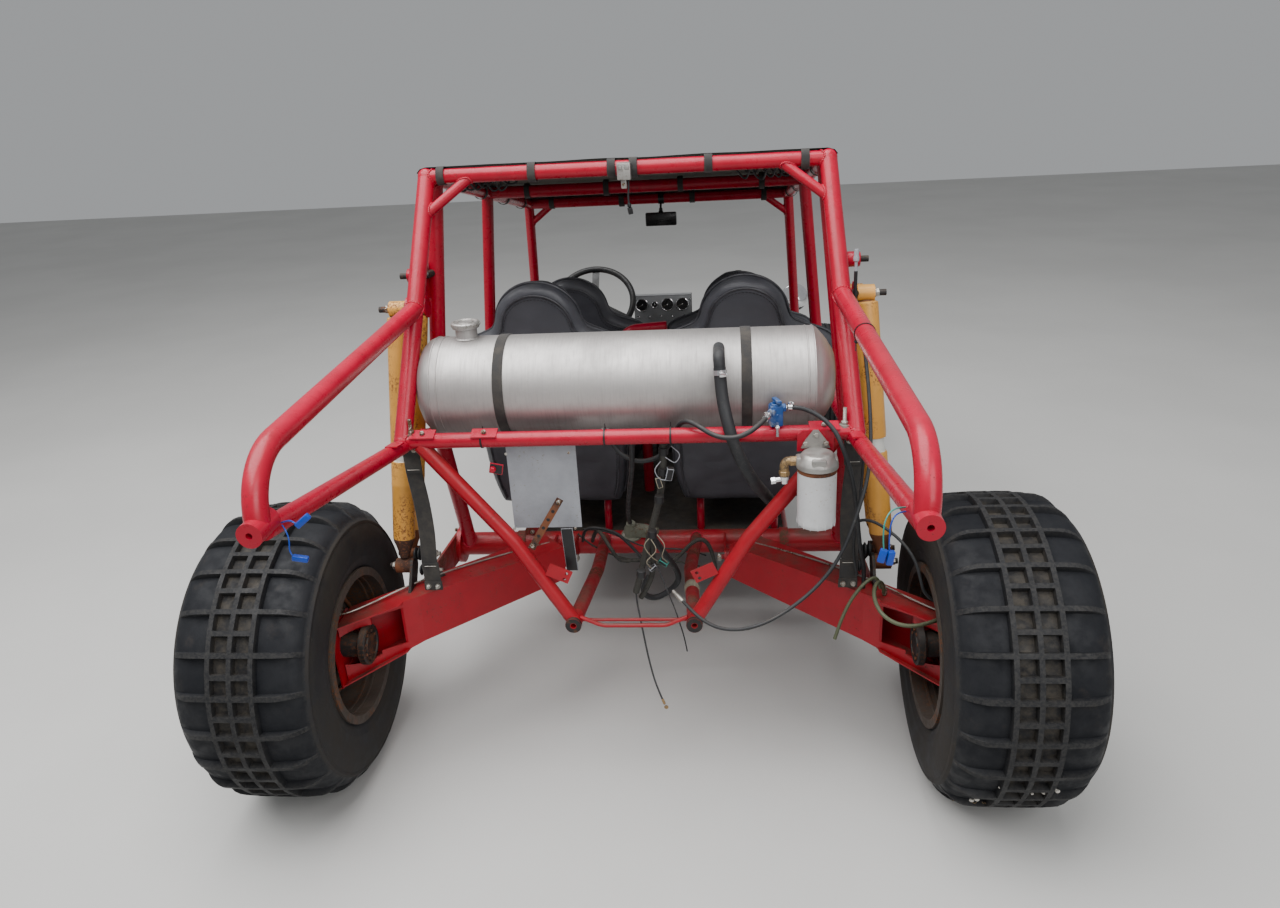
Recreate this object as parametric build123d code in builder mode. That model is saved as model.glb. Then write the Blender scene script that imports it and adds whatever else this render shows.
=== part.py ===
from build123d import *
import os
from math import cos, radians, sin, sqrt, tan

# Four-seat sand rail dune buggy, seen as it stands with engine and gearbox taken out.
# Millimetres. +Y is the way it drives, +X its right side, +Z up, ground at zero,
# origin on the ground under the middle of its length.

# Wheels and stance
wheelbase = 2450.0
rear_half_track = 901.0
front_half_track = 745.0
rear_tyre_radius = 387.0
rear_tyre_width = 347.0
front_tyre_radius = 305.0
front_tyre_width = 165.0
rim_lip_radius = 208.0
rim_barrel_radius = 186.0
rim_wall = 6.0
loop_reach = 700.0

# The rear axle lies so far behind the origin that the whole length is centred on it.
rear_axle = (loop_reach - wheelbase - front_tyre_radius) / 2
front_axle = rear_axle + wheelbase

# Tubes
heavy_tube = 44.45 / 2
main_tube = 38.1 / 2
brace_tube = 26.0 / 2
beam_tube = 50.0 / 2
torsion_tube = 76.0 / 2
hoop_bend = 120.0
loop_bend = 130.0
cradle_bend_radius = 160.0
rail_bend_radius = 200.0
gap = 0.3

# A ball rounds each welded corner and stands a little proud of its tubes.
weld_proud = 0.8

# Frame points: half width, distance ahead of the rear axle, height
frame_points = {
    "roof_rear": (515, 395, 1554),
    "roof_front": (514, 1681, 1336),
    "rear_low": (554, 40, 955),
    "hoop_waist": (588, 425, 836),
    "knee": (568, -648, 1181),
    "cap": (560, -665, 1072),
    "loop_low_front": (553, 45, 943),
    "loop_low_end": (560, -652, 1059),
    "cradle_top": (512, 40, 945),
    "cradle_bend": (297, 18, 685),
    "cradle_foot": (157, 5, 456),
    "horn_bend": (137, 330, 425),
    "horn_end": (150, 640, 372),
    "waist_front": (566, 1879, 750),
    "nose_top": (205, 2600, 440),
    "hoop_foot": (604, 624, 368),
    "torsion_end": (628, 640, 355),
    "rail_rear": (440, 640, 300),
    "rail_bend": (440, 1760, 300),
    "nose_low": (205, 2600, 300),
}


def place(half_width, ahead, height):
    """A point given by half width, distance ahead of the rear axle and height."""
    return Vector(half_width, rear_axle + ahead, height)


def corner(name):
    return place(*frame_points[name])


def between(first, second, share):
    return first + (second - first) * share


roof_rear = corner("roof_rear")
roof_front = corner("roof_front")
rear_low = corner("rear_low")
shoulder = between(roof_rear, rear_low, 0.51)
hoop_top = between(roof_rear, roof_front, 0.05)
roof_middle = between(roof_rear, roof_front, 0.486)
hoop_waist = corner("hoop_waist")
waist_front = corner("waist_front")
waist_middle = between(hoop_waist, waist_front, 0.42)
side_middle = between(rear_low, hoop_waist, 0.48)


def add_straight(start, end, radius):
    """A straight round bar between two points, added to the part in work."""
    with BuildSketch(Plane(origin=start, z_dir=end - start)) as section:
        Circle(radius)
    extrude(section.sketch, amount=(end - start).length)


def add_bent(points, radius, bend):
    """A round bar along straight runs joined by equal bends."""
    with BuildLine() as route:
        FilletPolyline(*points, radius=bend)
    with BuildSketch(Plane(origin=route.line @ 0, z_dir=route.line % 0)) as section:
        Circle(radius)
    sweep(section.sketch, path=route.line)


def cross_ends(point):
    """The same point on the left and on the right side."""
    return Vector(-point.X, point.Y, point.Z), point


def finish(part, label):
    part.part.label = label
    export_step(part.part, f"parts/{label}.step")


# Hoses and cables: diameter, then the points of the route from its fixed end on,
# as across, ahead of the rear axle, height
cord_routes = {
    "vent_hose": (
        30.0,
        (234, 52, 1120),
        (237, 40, 1062),
        (247, 18, 1008),
        (261, 2, 955),
        (281, -1, 902),
        (306, 14, 850),
        (330, 44, 804),
        (352, 82, 762),
    ),
    "fuel_hose_left": (
        12.0,
        (346, 12, 1010),
        (327, -16, 1002),
        (302, -38, 990),
        (271, -48, 980),
        (238, -40, 977),
        (208, -16, 980),
        (180, 12, 990),
        (154, 40, 993),
        (134, 67, 976),
        (119, 86, 942),
        (104, 97, 906),
        (82, 103, 877),
        (51, 106, 863),
        (17, 109, 862),
        (-15, 113, 875),
        (-38, 117, 900),
        (-50, 120, 931),
    ),
    "fuel_hose_right": (
        11.0,
        (392, 38, 1022),
        (420, 35, 1022),
        (450, 27, 1012),
        (479, 12, 996),
        (501, -8, 974),
        (515, -24, 943),
        (527, -30, 907),
        (539, -22, 868),
        (548, -8, 826),
        (556, 5, 780),
        (563, 18, 732),
        (570, 32, 684),
        (578, 50, 638),
        (588, 74, 596),
        (597, 100, 560),
        (602, 116, 520),
        (602, 122, 481),
    ),
    "long_cable": (
        9.0,
        (568, 192, 1220),
        (576, 176, 1190),
        (581, 150, 1146),
        (585, 114, 1094),
        (587, 76, 1038),
        (588, 44, 980),
        (587, 16, 918),
        (579, -10, 862),
        (564, -30, 812),
        (547, -44, 762),
        (529, -54, 710),
        (504, -64, 660),
        (470, -76, 616),
        (428, -92, 580),
        (380, -107, 549),
        (328, -118, 523),
        (274, -118, 506),
        (222, -102, 499),
        (180, -66, 500),
        (146, -22, 508),
        (112, 26, 520),
    ),
    "loom": (
        18.0,
        (92, 69, 942),
        (91, 70, 896),
        (87, 72, 842),
        (79, 77, 786),
        (66, 85, 732),
        (50, 97, 676),
        (34, 112, 616),
        (19, 129, 556),
        (6, 142, 504),
        (-7, 150, 455),
    ),
    "earth_cable": (
        5.0,
        (-7, 150, 454.7),
        (-6, 145, 430),
        (1, 128, 398),
        (12, 98, 354),
        (25, 64, 304),
        (40, 32, 258),
        (55, 10, 226),
        (67, 0, 200),
    ),
    "brake_hose": (
        10.0,
        (652, 90, 477.5),
        (648, 84, 506),
        (636, 62, 534),
        (618, 26, 550),
        (604, -16, 552),
        (602, -58, 542),
        (616, -94, 528),
        (646, -114, 518),
        (684, -114, 512),
        (722, -94, 508),
        (756, -66, 502),
        (784, -44, 498),
        (811.7, -38, 496),
    ),
    "light_wire": (
        5.0,
        (14, 362, 1526.4),
        (14, 362, 1504),
        (10, 366, 1484),
        (13, 370, 1456),
    ),
}


def cord_point(name, number):
    return place(*cord_routes[name][1:][number])


def add_cord(name):
    """A round cord along straight runs, each pair joined by an arc that touches both."""
    points = [place(*point) for point in cord_routes[name][1:]]
    bends = []
    with BuildLine() as route:
        run_start = points[0]
        for before, here, after in zip(points, points[1:], points[2:]):
            back, ahead = (before - here), (after - here)
            reach = 0.45 * min(back.length, ahead.length)
            half_turn = radians(180 - back.get_angle(ahead)) / 2
            bends.append(reach / tan(half_turn))
            arc_start = here + back.normalized() * reach
            arc_end = here + ahead.normalized() * reach
            middle_way = (back.normalized() + ahead.normalized()).normalized()
            middle = here + middle_way * bends[-1] * (1 / cos(half_turn) - 1)
            Line(run_start, arc_start)
            ThreePointArc(arc_start, middle, arc_end)
            run_start = arc_end
        Line(run_start, points[-1])
    length = sum(edge.length for edge in route.line.edges())
    print(name, "tightest bend", round(min(bends)), "length", round(length))
    with BuildSketch(Plane(origin=route.line @ 0, z_dir=route.line % 0)) as section:
        Circle(cord_routes[name][0] / 2)
    sweep(section.sketch, path=route.line)


cable_clip_radius = 8.0
cable_start = cord_point("long_cable", 0)
cable_clip_length = 22.0
cable_run = (cable_start - cord_point("long_cable", 1)).normalized()
cable_clip_top = cable_start + cable_run * cable_clip_length

os.makedirs("parts", exist_ok=True)

# Roll cage

with BuildPart() as rear_down_tubes:
    add_straight(rear_low, roof_rear, heavy_tube)
    with Locations(roof_rear, rear_low):
        Sphere(heavy_tube + weld_proud)
    mirror(about=Plane.YZ)
finish(rear_down_tubes, "rear_down_tubes")

with BuildPart() as roof_side_rails:
    add_straight(roof_rear, roof_front, main_tube)
    with Locations(roof_front):
        Sphere(main_tube + weld_proud)
    mirror(about=Plane.YZ)
    add(rear_down_tubes.part, mode=Mode.SUBTRACT)
finish(roof_side_rails, "roof_side_rails")


# Torsion housing with the brackets that carry the arms' inner pins

torsion_end = corner("torsion_end")
torsion_axis = Vector(0, torsion_end.Y, torsion_end.Z)
cover_radius = 62.0
cover_thickness = 14.0
pivot = place(275, 462, 392)
pivot_bush_radius = 27.0
pivot_bush_length = 62.0
pivot_pin_radius = 8.0
pivot_plate = 6.0
pivot_plate_height = 70.0
with BuildPart() as torsion_housing:
    with BuildSketch(Plane.YZ.offset(-torsion_end.X)) as tube_section:
        with Locations((torsion_axis.Y, torsion_axis.Z)):
            Circle(torsion_tube)
    extrude(tube_section.sketch, amount=2 * torsion_end.X)
    for side in (-1, 1):
        cover_x = side * (torsion_end.X + cover_thickness / 2)
        with Locations(Location((cover_x, torsion_axis.Y, torsion_axis.Z), (0, 90, 0))):
            Cylinder(cover_radius, cover_thickness)
        for plate_side in (-1, 1):
            plate_x = side * pivot.X + plate_side * (pivot_bush_length / 2 + gap + pivot_plate / 2)
            with BuildSketch(Plane.YZ.offset(plate_x)) as plate_outline:
                with BuildLine():
                    Polyline(
                        (torsion_axis.Y, torsion_axis.Z + torsion_tube - 4),
                        (pivot.Y, pivot.Z + pivot_bush_radius),
                        (pivot.Y, pivot.Z - pivot_bush_radius),
                        (torsion_axis.Y, torsion_axis.Z - torsion_tube + 4),
                        close=True,
                    )
                make_face()
                with Locations((pivot.Y, pivot.Z)):
                    Circle(pivot_bush_radius)
            extrude(plate_outline.sketch, amount=pivot_plate / 2, both=True)
        with Locations(Location((side * pivot.X, pivot.Y, pivot.Z), (0, 90, 0))):
            Cylinder(pivot_pin_radius, pivot_bush_length + 2 * (pivot_plate + gap) + 20)
finish(torsion_housing, "torsion_housing")

with BuildPart() as main_hoop:
    add_bent((hoop_top, hoop_waist, corner("hoop_foot")), heavy_tube, hoop_bend)
    mirror(about=Plane.YZ)
    add(roof_side_rails.part, mode=Mode.SUBTRACT)
    add(torsion_housing.part, mode=Mode.SUBTRACT)
finish(main_hoop, "main_hoop")

with BuildPart() as side_tubes:
    add_straight(rear_low, hoop_waist, main_tube)
    add_straight(hoop_waist, waist_front, main_tube)
    with Locations(waist_front):
        Sphere(main_tube + weld_proud)
    mirror(about=Plane.YZ)
    add(main_hoop.part, mode=Mode.SUBTRACT)
    add(rear_down_tubes.part, mode=Mode.SUBTRACT)
finish(side_tubes, "side_tubes")

pillar_feet = ((roof_middle, waist_middle), (roof_front, waist_front))
with BuildPart() as pillars:
    for top, foot in pillar_feet:
        add_straight(foot, top, main_tube)
    mirror(about=Plane.YZ)
    add(roof_side_rails.part, mode=Mode.SUBTRACT)
    add(side_tubes.part, mode=Mode.SUBTRACT)
finish(pillars, "pillars")

# The short corner braces are welded to the cross bars and end on the posts.
rear_brace_low = between(roof_rear, rear_low, 0.16)
front_brace_low = between(roof_front, waist_front, 0.14)
rear_brace_inset = 122.0
front_brace_inset = 101.0
with BuildPart() as roof_cross_bars:
    for bar_end in (roof_rear, roof_middle, roof_front):
        left_end, right_end = cross_ends(bar_end)
        add_straight(left_end, right_end, main_tube)
    for low, top, inset in (
        (rear_brace_low, roof_rear, rear_brace_inset),
        (front_brace_low, roof_front, front_brace_inset),
    ):
        for side in (-1, 1):
            foot = Vector(side * low.X, low.Y, low.Z)
            add_straight(foot, Vector(side * (top.X - inset), top.Y, top.Z), brace_tube)
    for neighbour in (rear_down_tubes, roof_side_rails, pillars):
        add(neighbour.part, mode=Mode.SUBTRACT)
finish(roof_cross_bars, "roof_cross_bars")

# Rear of the frame: engine bay tubes

tank_radius = 128.0
tank_half_length = 527.0
tank_centre_x = -10.0
tank_dome = 46.0
tank_end_radius = 62.0
tank_centre_ahead = 200.0
band_thickness = 3.0
cross_tab_places = (
    # across, length of each flat tab on top of the rear cross tube
    (-500.0, 62.0),
    (-345.0, 64.0),
    (478.0, 70.0),
)
cross_tab_depth = 34.0
cross_tab_thickness = 4.0
with BuildPart() as rear_cross_tubes:
    for bar_end in (rear_low, side_middle):
        left_end, right_end = cross_ends(bar_end)
        add_straight(left_end, right_end, main_tube)
    for tab_x, tab_length in cross_tab_places:
        with Locations(Location((tab_x, rear_low.Y - 6, rear_low.Z + main_tube), (18, 0, 0))):
            Box(tab_length, cross_tab_depth, cross_tab_thickness)
    with Locations(cord_point("loom", 0) + Vector(0, -5, 7.3)):
        Box(24, 28, 14)
    for neighbour in (rear_down_tubes, side_tubes):
        add(neighbour.part, mode=Mode.SUBTRACT)
finish(rear_cross_tubes, "rear_cross_tubes")

# The tank lies in its bands on the cross tube between the side tubes.
saddle_reach = tank_radius + band_thickness + gap + main_tube
saddle_run = side_middle.Y - (rear_axle + tank_centre_ahead)
tank_axis = place(tank_centre_x, tank_centre_ahead, side_middle.Z + sqrt(saddle_reach**2 - saddle_run**2))

cap_centre = corner("cap")
cap_radius = 23.0
cap_length = 2 * (loop_reach + frame_points["cap"][1])
cap_bore_radius = 6.0
loop_low_front = corner("loop_low_front")
loop_low_end = corner("loop_low_end")
loop_tab_share = 0.12
loop_tab_length = 52.0
loop_tab_width = 30.0
with BuildPart() as loop_lower_tubes:
    add_straight(loop_low_front, loop_low_end, main_tube)
    tab_centre = between(loop_low_front, loop_low_end, loop_tab_share) + Vector(-8, 0, main_tube)
    with Locations(Location(tab_centre, (-9, 0, 0))):
        Box(loop_tab_width, loop_tab_length, cross_tab_thickness)
    with Locations(Location(cap_centre, (90, 0, 0))):
        Cylinder(cap_radius, cap_length)
        Cylinder(cap_bore_radius, cap_length, mode=Mode.SUBTRACT)
    mirror(about=Plane.YZ)
    for neighbour in (rear_down_tubes, rear_cross_tubes, side_tubes):
        add(neighbour.part, mode=Mode.SUBTRACT)
finish(loop_lower_tubes, "loop_lower_tubes")

with BuildPart() as loop_upper_tubes:
    add_bent((shoulder, corner("knee"), cap_centre), heavy_tube, loop_bend)
    mirror(about=Plane.YZ)
    add(rear_down_tubes.part, mode=Mode.SUBTRACT)
    add(loop_lower_tubes.part, mode=Mode.SUBTRACT)
    with Locations(Location(cap_centre, (90, 0, 0)), Location(cross_ends(cap_centre)[0], (90, 0, 0))):
        Cylinder(cap_radius, cap_length, mode=Mode.SUBTRACT)
finish(loop_upper_tubes, "loop_upper_tubes")

cradle_sleeve_radius = 21.0
cradle_sleeve_length = 52.0
cradle_bore_radius = 7.0
cradle_foot = corner("cradle_foot")
cradle_tab_places = (
    # half width and height of the two-hole tabs on the tubes' inner sides
    (186.0, 598.0),
)
cradle_tab = (62.0, 36.0, 4.0)
cradle_tab_hole = 4.5

# A straight rod and a bent strap tie the two sleeves together.
link_rod_radius = 4.5
link_strap_radius = 5.5
link_strap_bend = 60.0
link_reach = cradle_foot.X - cradle_sleeve_radius + 4
with BuildPart() as cradle_tubes:
    add_bent((corner("cradle_top"), corner("cradle_bend"), cradle_foot), main_tube, cradle_bend_radius)
    for tab_x, tab_z in cradle_tab_places:
        with BuildSketch(Plane.XZ.offset(-cradle_foot.Y)) as tab:
            with Locations(Location((tab_x, tab_z), 25)):
                Rectangle(cradle_tab[0], cradle_tab[1])
                with Locations((-18, 8), (-18, -9)):
                    Circle(cradle_tab_hole, mode=Mode.SUBTRACT)
        extrude(tab.sketch, amount=cradle_tab[2])
    with Locations(Location(cradle_foot, (90, 0, 0))):
        Cylinder(cradle_sleeve_radius, cradle_sleeve_length)
        Cylinder(cradle_bore_radius, cradle_sleeve_length, mode=Mode.SUBTRACT)
    mirror(about=Plane.YZ)
    rod_end = Vector(link_reach, cradle_foot.Y + 12, cradle_foot.Z - 5)
    add_straight(cross_ends(rod_end)[0], rod_end, link_rod_radius)
    strap_ends = cross_ends(Vector(link_reach, cradle_foot.Y - 8, cradle_foot.Z + 16))
    strap_knees = cross_ends(Vector(link_reach - 56, cradle_foot.Y - 8, cradle_foot.Z - 10))
    add_bent((strap_ends[0], *strap_knees, strap_ends[1]), link_strap_radius, link_strap_bend)
    for neighbour in (rear_down_tubes, rear_cross_tubes, loop_lower_tubes):
        add(neighbour.part, mode=Mode.SUBTRACT)
finish(cradle_tubes, "cradle_tubes")

# The horns butt against the sleeves' front ends.
sleeve_front = cradle_foot.Y + cradle_sleeve_length / 2
with BuildPart() as frame_horns:
    add_bent((cradle_foot, corner("horn_bend"), corner("horn_end")), main_tube, rail_bend_radius)
    split(bisect_by=Plane(origin=(0, sleeve_front, 0), z_dir=(0, 1, 0)), keep=Keep.TOP)
    mirror(about=Plane.YZ)
    add(cradle_tubes.part, mode=Mode.SUBTRACT)
    add(torsion_housing.part, mode=Mode.SUBTRACT)
finish(frame_horns, "frame_horns")

# Lower frame and nose

rail_rear = corner("rail_rear")
rail_bend = corner("rail_bend")
nose_low = corner("nose_low")
nose_top = corner("nose_top")
tower_x = 430.0
tower_width = 36.0
tower_depth = 90.0
tower_top = 620.0
beam_half_length = 468.0
with BuildPart() as front_beam:
    for beam_height in (nose_low.Z, nose_top.Z):
        left_end, right_end = cross_ends(Vector(beam_half_length, nose_low.Y, beam_height))
        add_straight(left_end, right_end, beam_tube)
    for side in (-1, 1):
        with Locations((side * tower_x, nose_low.Y, (nose_low.Z + tower_top) / 2 - beam_tube)):
            Box(tower_width, tower_depth, tower_top - nose_low.Z)
finish(front_beam, "front_beam")

rack_ahead = 2335.0
rail_slope = (rail_bend.X - nose_low.X) / (nose_low.Y - rail_bend.Y)
rack_half_width = nose_low.X + rail_slope * (nose_low.Y - rear_axle - rack_ahead)
pedal_ahead = 2180.0
floor_bar_places = (
    # half width, ahead of the rear axle
    (rail_bend.X, 800.0),
    (rail_bend.X, 1150.0),
    (rail_bend.X, 1480.0),
    (rail_bend.X, 1680.0),
    (rack_half_width, rack_ahead),
)
with BuildPart() as lower_rails:
    add_bent((rail_rear, rail_bend, nose_low), main_tube, rail_bend_radius)
    mirror(about=Plane.YZ)
    for half_width, ahead in floor_bar_places:
        bar_end = place(half_width, ahead, rail_rear.Z)
        add_straight(cross_ends(bar_end)[0], bar_end, main_tube)
    add(torsion_housing.part, mode=Mode.SUBTRACT)
    add(front_beam.part, mode=Mode.SUBTRACT)
finish(lower_rails, "lower_rails")

floor_thickness = 3.0
floor_under = rail_rear.Z + main_tube + gap
floor_top = floor_under + floor_thickness
floor_outline = (
    (rail_bend.X, 720.0),
    (rail_bend.X, 1740.0),
    (rack_half_width + 30, pedal_ahead + 90),
)
with BuildPart() as floor_pan:
    right_edge = [(x, rear_axle + ahead) for x, ahead in floor_outline]
    left_edge = [(-x, y) for x, y in reversed(right_edge)]
    with BuildSketch(Plane.XY.offset(floor_under)):
        Polygon(*right_edge, *left_edge, align=None)
    extrude(amount=floor_thickness)
finish(floor_pan, "floor_pan")

# Rear suspension

arm_wall = 4.0
arm_plan = (
    # across, ahead: rear edge from the inner pin outwards, then the front edge back
    (pivot.X - 22, 428.0),
    (600.0, 92.0),
    (784.0, -34.0),
    (784.0, 58.0),
    (640.0, 165.0),
    (pivot.X + 45, 500.0),
)
arm_side = (
    # across, height: lower edge outwards, upper edge back
    (pivot.X - 40, 340.0),
    (600.0, 338.0),
    (800.0, 284.0),
    (800.0, 467.0),
    (600.0, 480.0),
    (pivot.X - 40, 448.0),
)


def arm_body(inset):
    """The arm's outer form, or the hollow inside it when inset by its wall."""
    with BuildPart(mode=Mode.PRIVATE) as body:
        with BuildSketch():
            Polygon(*[(x, rear_axle + ahead) for x, ahead in arm_plan], align=None)
            if inset:
                offset(amount=-inset, kind=Kind.INTERSECTION)
        extrude(amount=600)
        with BuildSketch(Plane.XZ.offset(-rear_axle - 700)):
            Polygon(*arm_side, align=None)
            if inset:
                offset(amount=-inset, kind=Kind.INTERSECTION)
        extrude(amount=900, mode=Mode.INTERSECT)
    return body.part


arm_shell = arm_body(0)
arm_hollow = arm_body(arm_wall)
carrier_radius = 54.0
carrier_inner_x = 716.0
axle_height = rear_tyre_radius
with BuildPart() as trailing_arms:
    add(arm_shell)
    add(arm_hollow, mode=Mode.SUBTRACT)
    with Locations((655.0, rear_axle - 10.0, (338 + 480) / 2 - 4)):
        Box(116, 150, 110, mode=Mode.SUBTRACT)
    with Locations(Location((pivot.X, pivot.Y, pivot.Z), (0, 90, 0))):
        Cylinder(pivot_bush_radius, pivot_bush_length)
        Cylinder(pivot_pin_radius + gap, pivot_bush_length, mode=Mode.SUBTRACT)
    with Locations(Location((carrier_inner_x + 50, rear_axle, axle_height), (0, 90, 0))):
        Cylinder(carrier_radius + gap, 130, mode=Mode.SUBTRACT)
    mirror(about=Plane.YZ)
    add(torsion_housing.part, mode=Mode.SUBTRACT)
finish(trailing_arms, "trailing_arms")

backing_radius = 128.0
backing_thickness = 5.0
backing_x = 812.0
shaft_radius = 19.0
with BuildPart() as axle_carriers:
    with Locations(Location(((carrier_inner_x + backing_x) / 2, rear_axle, axle_height), (0, 90, 0))):
        Cylinder(carrier_radius, backing_x - carrier_inner_x)
    with Locations(Location((backing_x + backing_thickness / 2, rear_axle, axle_height), (0, 90, 0))):
        Cylinder(backing_radius, backing_thickness)
    with Locations(Location((backing_x - 30, rear_axle, axle_height), (0, 90, 0))):
        Cylinder(shaft_radius + gap, 120, mode=Mode.SUBTRACT)
    mirror(about=Plane.YZ)
finish(axle_carriers, "axle_carriers")

spring_plate_thickness = 8.0
spring_plate_reach = 136.0
spring_plate_x = torsion_end.X + cover_thickness + spring_plate_thickness / 2
with BuildPart() as spring_plates:
    with BuildSketch(Plane.YZ.offset(spring_plate_x)):
        with BuildLine():
            Polyline(
                (torsion_axis.Y, torsion_axis.Z + 48),
                (rear_axle + spring_plate_reach, 440.0),
                (rear_axle + spring_plate_reach, 372.0),
                (torsion_axis.Y, torsion_axis.Z - 48),
                close=True,
            )
        make_face()
        with Locations((torsion_axis.Y, torsion_axis.Z)):
            Circle(48)
    extrude(amount=spring_plate_thickness / 2, both=True)
    add(arm_shell, mode=Mode.SUBTRACT)
    mirror(about=Plane.YZ)
finish(spring_plates, "spring_plates")

# Shocks: sleeve, rod end and body on one line, an eye across each end
shock_ends = (
    # upper eye, lower eye of the outer and of the inner shock
    (place(612, 277, 1236), place(659, 177, 530)),
    (place(584, 394, 1300), place(668, 270, 520)),
)
shock_eye_radius = 21.0
shock_eye_length = 44.0
shock_neck_radius = 12.0
shock_stud_radius = 8.0
shock_steps = (
    # distance down the line from the upper eye, radius
    (24.0, 30.0),
    (372.0, 30.0),
    (374.0, 24.0),
    (408.0, 24.0),
    (410.0, 30.0),
    (640.0, 30.0),
    (668.0, 18.0),
)


def add_shock(top, low, steps, eye_radius, eye_length):
    """A round shock of stepped radius with an eye across each end."""
    line = low - top
    with BuildSketch(Plane(origin=top, x_dir=line, z_dir=line.cross(Vector(0, 0, 1)))) as outline:
        with BuildLine():
            Polyline(
                (0, 0),
                (0, shock_neck_radius),
                (steps[0][0] - 2, shock_neck_radius),
                *steps,
                (line.length, shock_neck_radius),
                (line.length, 0),
                close=True,
            )
        make_face()
    revolve(outline.sketch, axis=Axis(top, line))
    with Locations(Location(top, (0, 90, 0)), Location(low, (0, 90, 0))):
        Cylinder(eye_radius, eye_length)


shock_ear_thickness = 8.0
shock_ear_radius = 24.0
stud_past_eye = 40.0
stud_clearance = 4.0
outer_low = shock_ends[0][1]
inner_low = shock_ends[1][1]
shock_ear_x = outer_low.X - shock_eye_length / 2 - gap - shock_ear_thickness
inner_ear_x = inner_low.X - shock_eye_length / 2 - gap - shock_ear_thickness
hoop_height_share = (hoop_top.Z - shock_ends[1][0].Z) / (hoop_top.Z - hoop_waist.Z)
hoop_at_shock = between(hoop_top, hoop_waist, hoop_height_share)
with BuildPart() as rear_shocks:
    for top, low in shock_ends:
        add_shock(top, low, shock_steps, shock_eye_radius, shock_eye_length)
        with Locations(Location(top, (0, 90, 0)), Location(low, (0, 90, 0))):
            Cylinder(shock_stud_radius + gap, shock_eye_length, mode=Mode.SUBTRACT)
    mirror(about=Plane.YZ)

with BuildPart() as shock_pins:
    for root, (top, low) in zip((shoulder, hoop_at_shock), shock_ends):
        stud_end = Vector(top.X - shock_eye_length / 2 - stud_clearance, top.Y, top.Z)
        add_straight(root, stud_end, shock_stud_radius + 2)
        reach = Vector(stud_past_eye, 0, 0)
        add_straight(top - reach, top + reach, shock_stud_radius)
    for ear_x, low in ((shock_ear_x, outer_low), (inner_ear_x, inner_low)):
        stud_outer = Vector(low.X + stud_past_eye, low.Y, low.Z)
        add_straight(Vector(ear_x, low.Y, low.Z), stud_outer, shock_stud_radius)
    with BuildSketch(Plane.YZ.offset(shock_ear_x)) as ear:
        with Locations((outer_low.Y, outer_low.Z), (outer_low.Y - 55, outer_low.Z - 80)):
            Circle(shock_ear_radius)
        make_hull()
    extrude(ear.sketch, amount=shock_ear_thickness)
    with Locations(Location((inner_ear_x + shock_ear_thickness / 2, inner_low.Y, inner_low.Z), (0, 90, 0))):
        Cylinder(shock_eye_radius, shock_ear_thickness)
    add_straight(
        place(566, 208, 470),
        Vector(inner_ear_x + shock_ear_thickness / 2, inner_low.Y, inner_low.Z),
        shock_stud_radius + 3,
    )
    add(arm_shell, mode=Mode.SUBTRACT)
    mirror(about=Plane.YZ)
    for neighbour in (rear_down_tubes, main_hoop, loop_upper_tubes, rear_shocks):
        add(neighbour.part, mode=Mode.SUBTRACT)
finish(shock_pins, "shock_pins")

# Front suspension and steering

link_x = 488.0
link_drop = 50.0
link_thickness = 26.0
link_height = 42.0
kingpin_x = 595.0
kingpin_radius = 9.0
kingpin_boss = 19.0
kingpin_low = nose_low.Z - link_drop
kingpin_high = nose_top.Z - link_drop
front_hub_height = front_tyre_radius
carrier_half = 38.0
ear_thickness = 20.0
front_hub_middle = (kingpin_low + kingpin_high) / 2
with BuildPart() as front_arms:
    for beam_height in (nose_low.Z, nose_top.Z):
        with BuildSketch(Plane.YZ.offset(link_x)) as link:
            with Locations((nose_low.Y, beam_height), (front_axle, beam_height - link_drop)):
                Circle(link_height / 2)
            make_hull()
        extrude(link.sketch, amount=link_thickness / 2, both=True)
    with Locations(((link_x + kingpin_x) / 2, front_axle, front_hub_middle)):
        Box(kingpin_x - link_x, 30, kingpin_high - kingpin_low)
    with Locations((kingpin_x, front_axle, front_hub_middle)):
        Cylinder(kingpin_boss, 2 * carrier_half)
        Cylinder(kingpin_radius, 2 * (carrier_half + ear_thickness + 8))
    for ear_side in (-1, 1):
        ear_middle = front_hub_middle + ear_side * (carrier_half + ear_thickness / 2 + 3)
        with Locations((kingpin_x, front_axle, ear_middle)):
            Box(76, 76, ear_thickness + 10, mode=Mode.SUBTRACT)
            Cylinder(kingpin_radius, ear_thickness + 10)
    mirror(about=Plane.YZ)
    add(front_beam.part, mode=Mode.SUBTRACT)
finish(front_arms, "front_arms")

steering_arm_thickness = 12.0
steering_arm_back = front_axle - (rear_axle + rack_ahead)
steering_arm_height = front_hub_middle + carrier_half + 1 + ear_thickness / 2
tie_rod_radius = 9.0
rack_height = steering_arm_height + steering_arm_thickness / 2 + gap + tie_rod_radius + 5
spindle_radius = 14.0
front_hub_reach = front_half_track + 30


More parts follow.
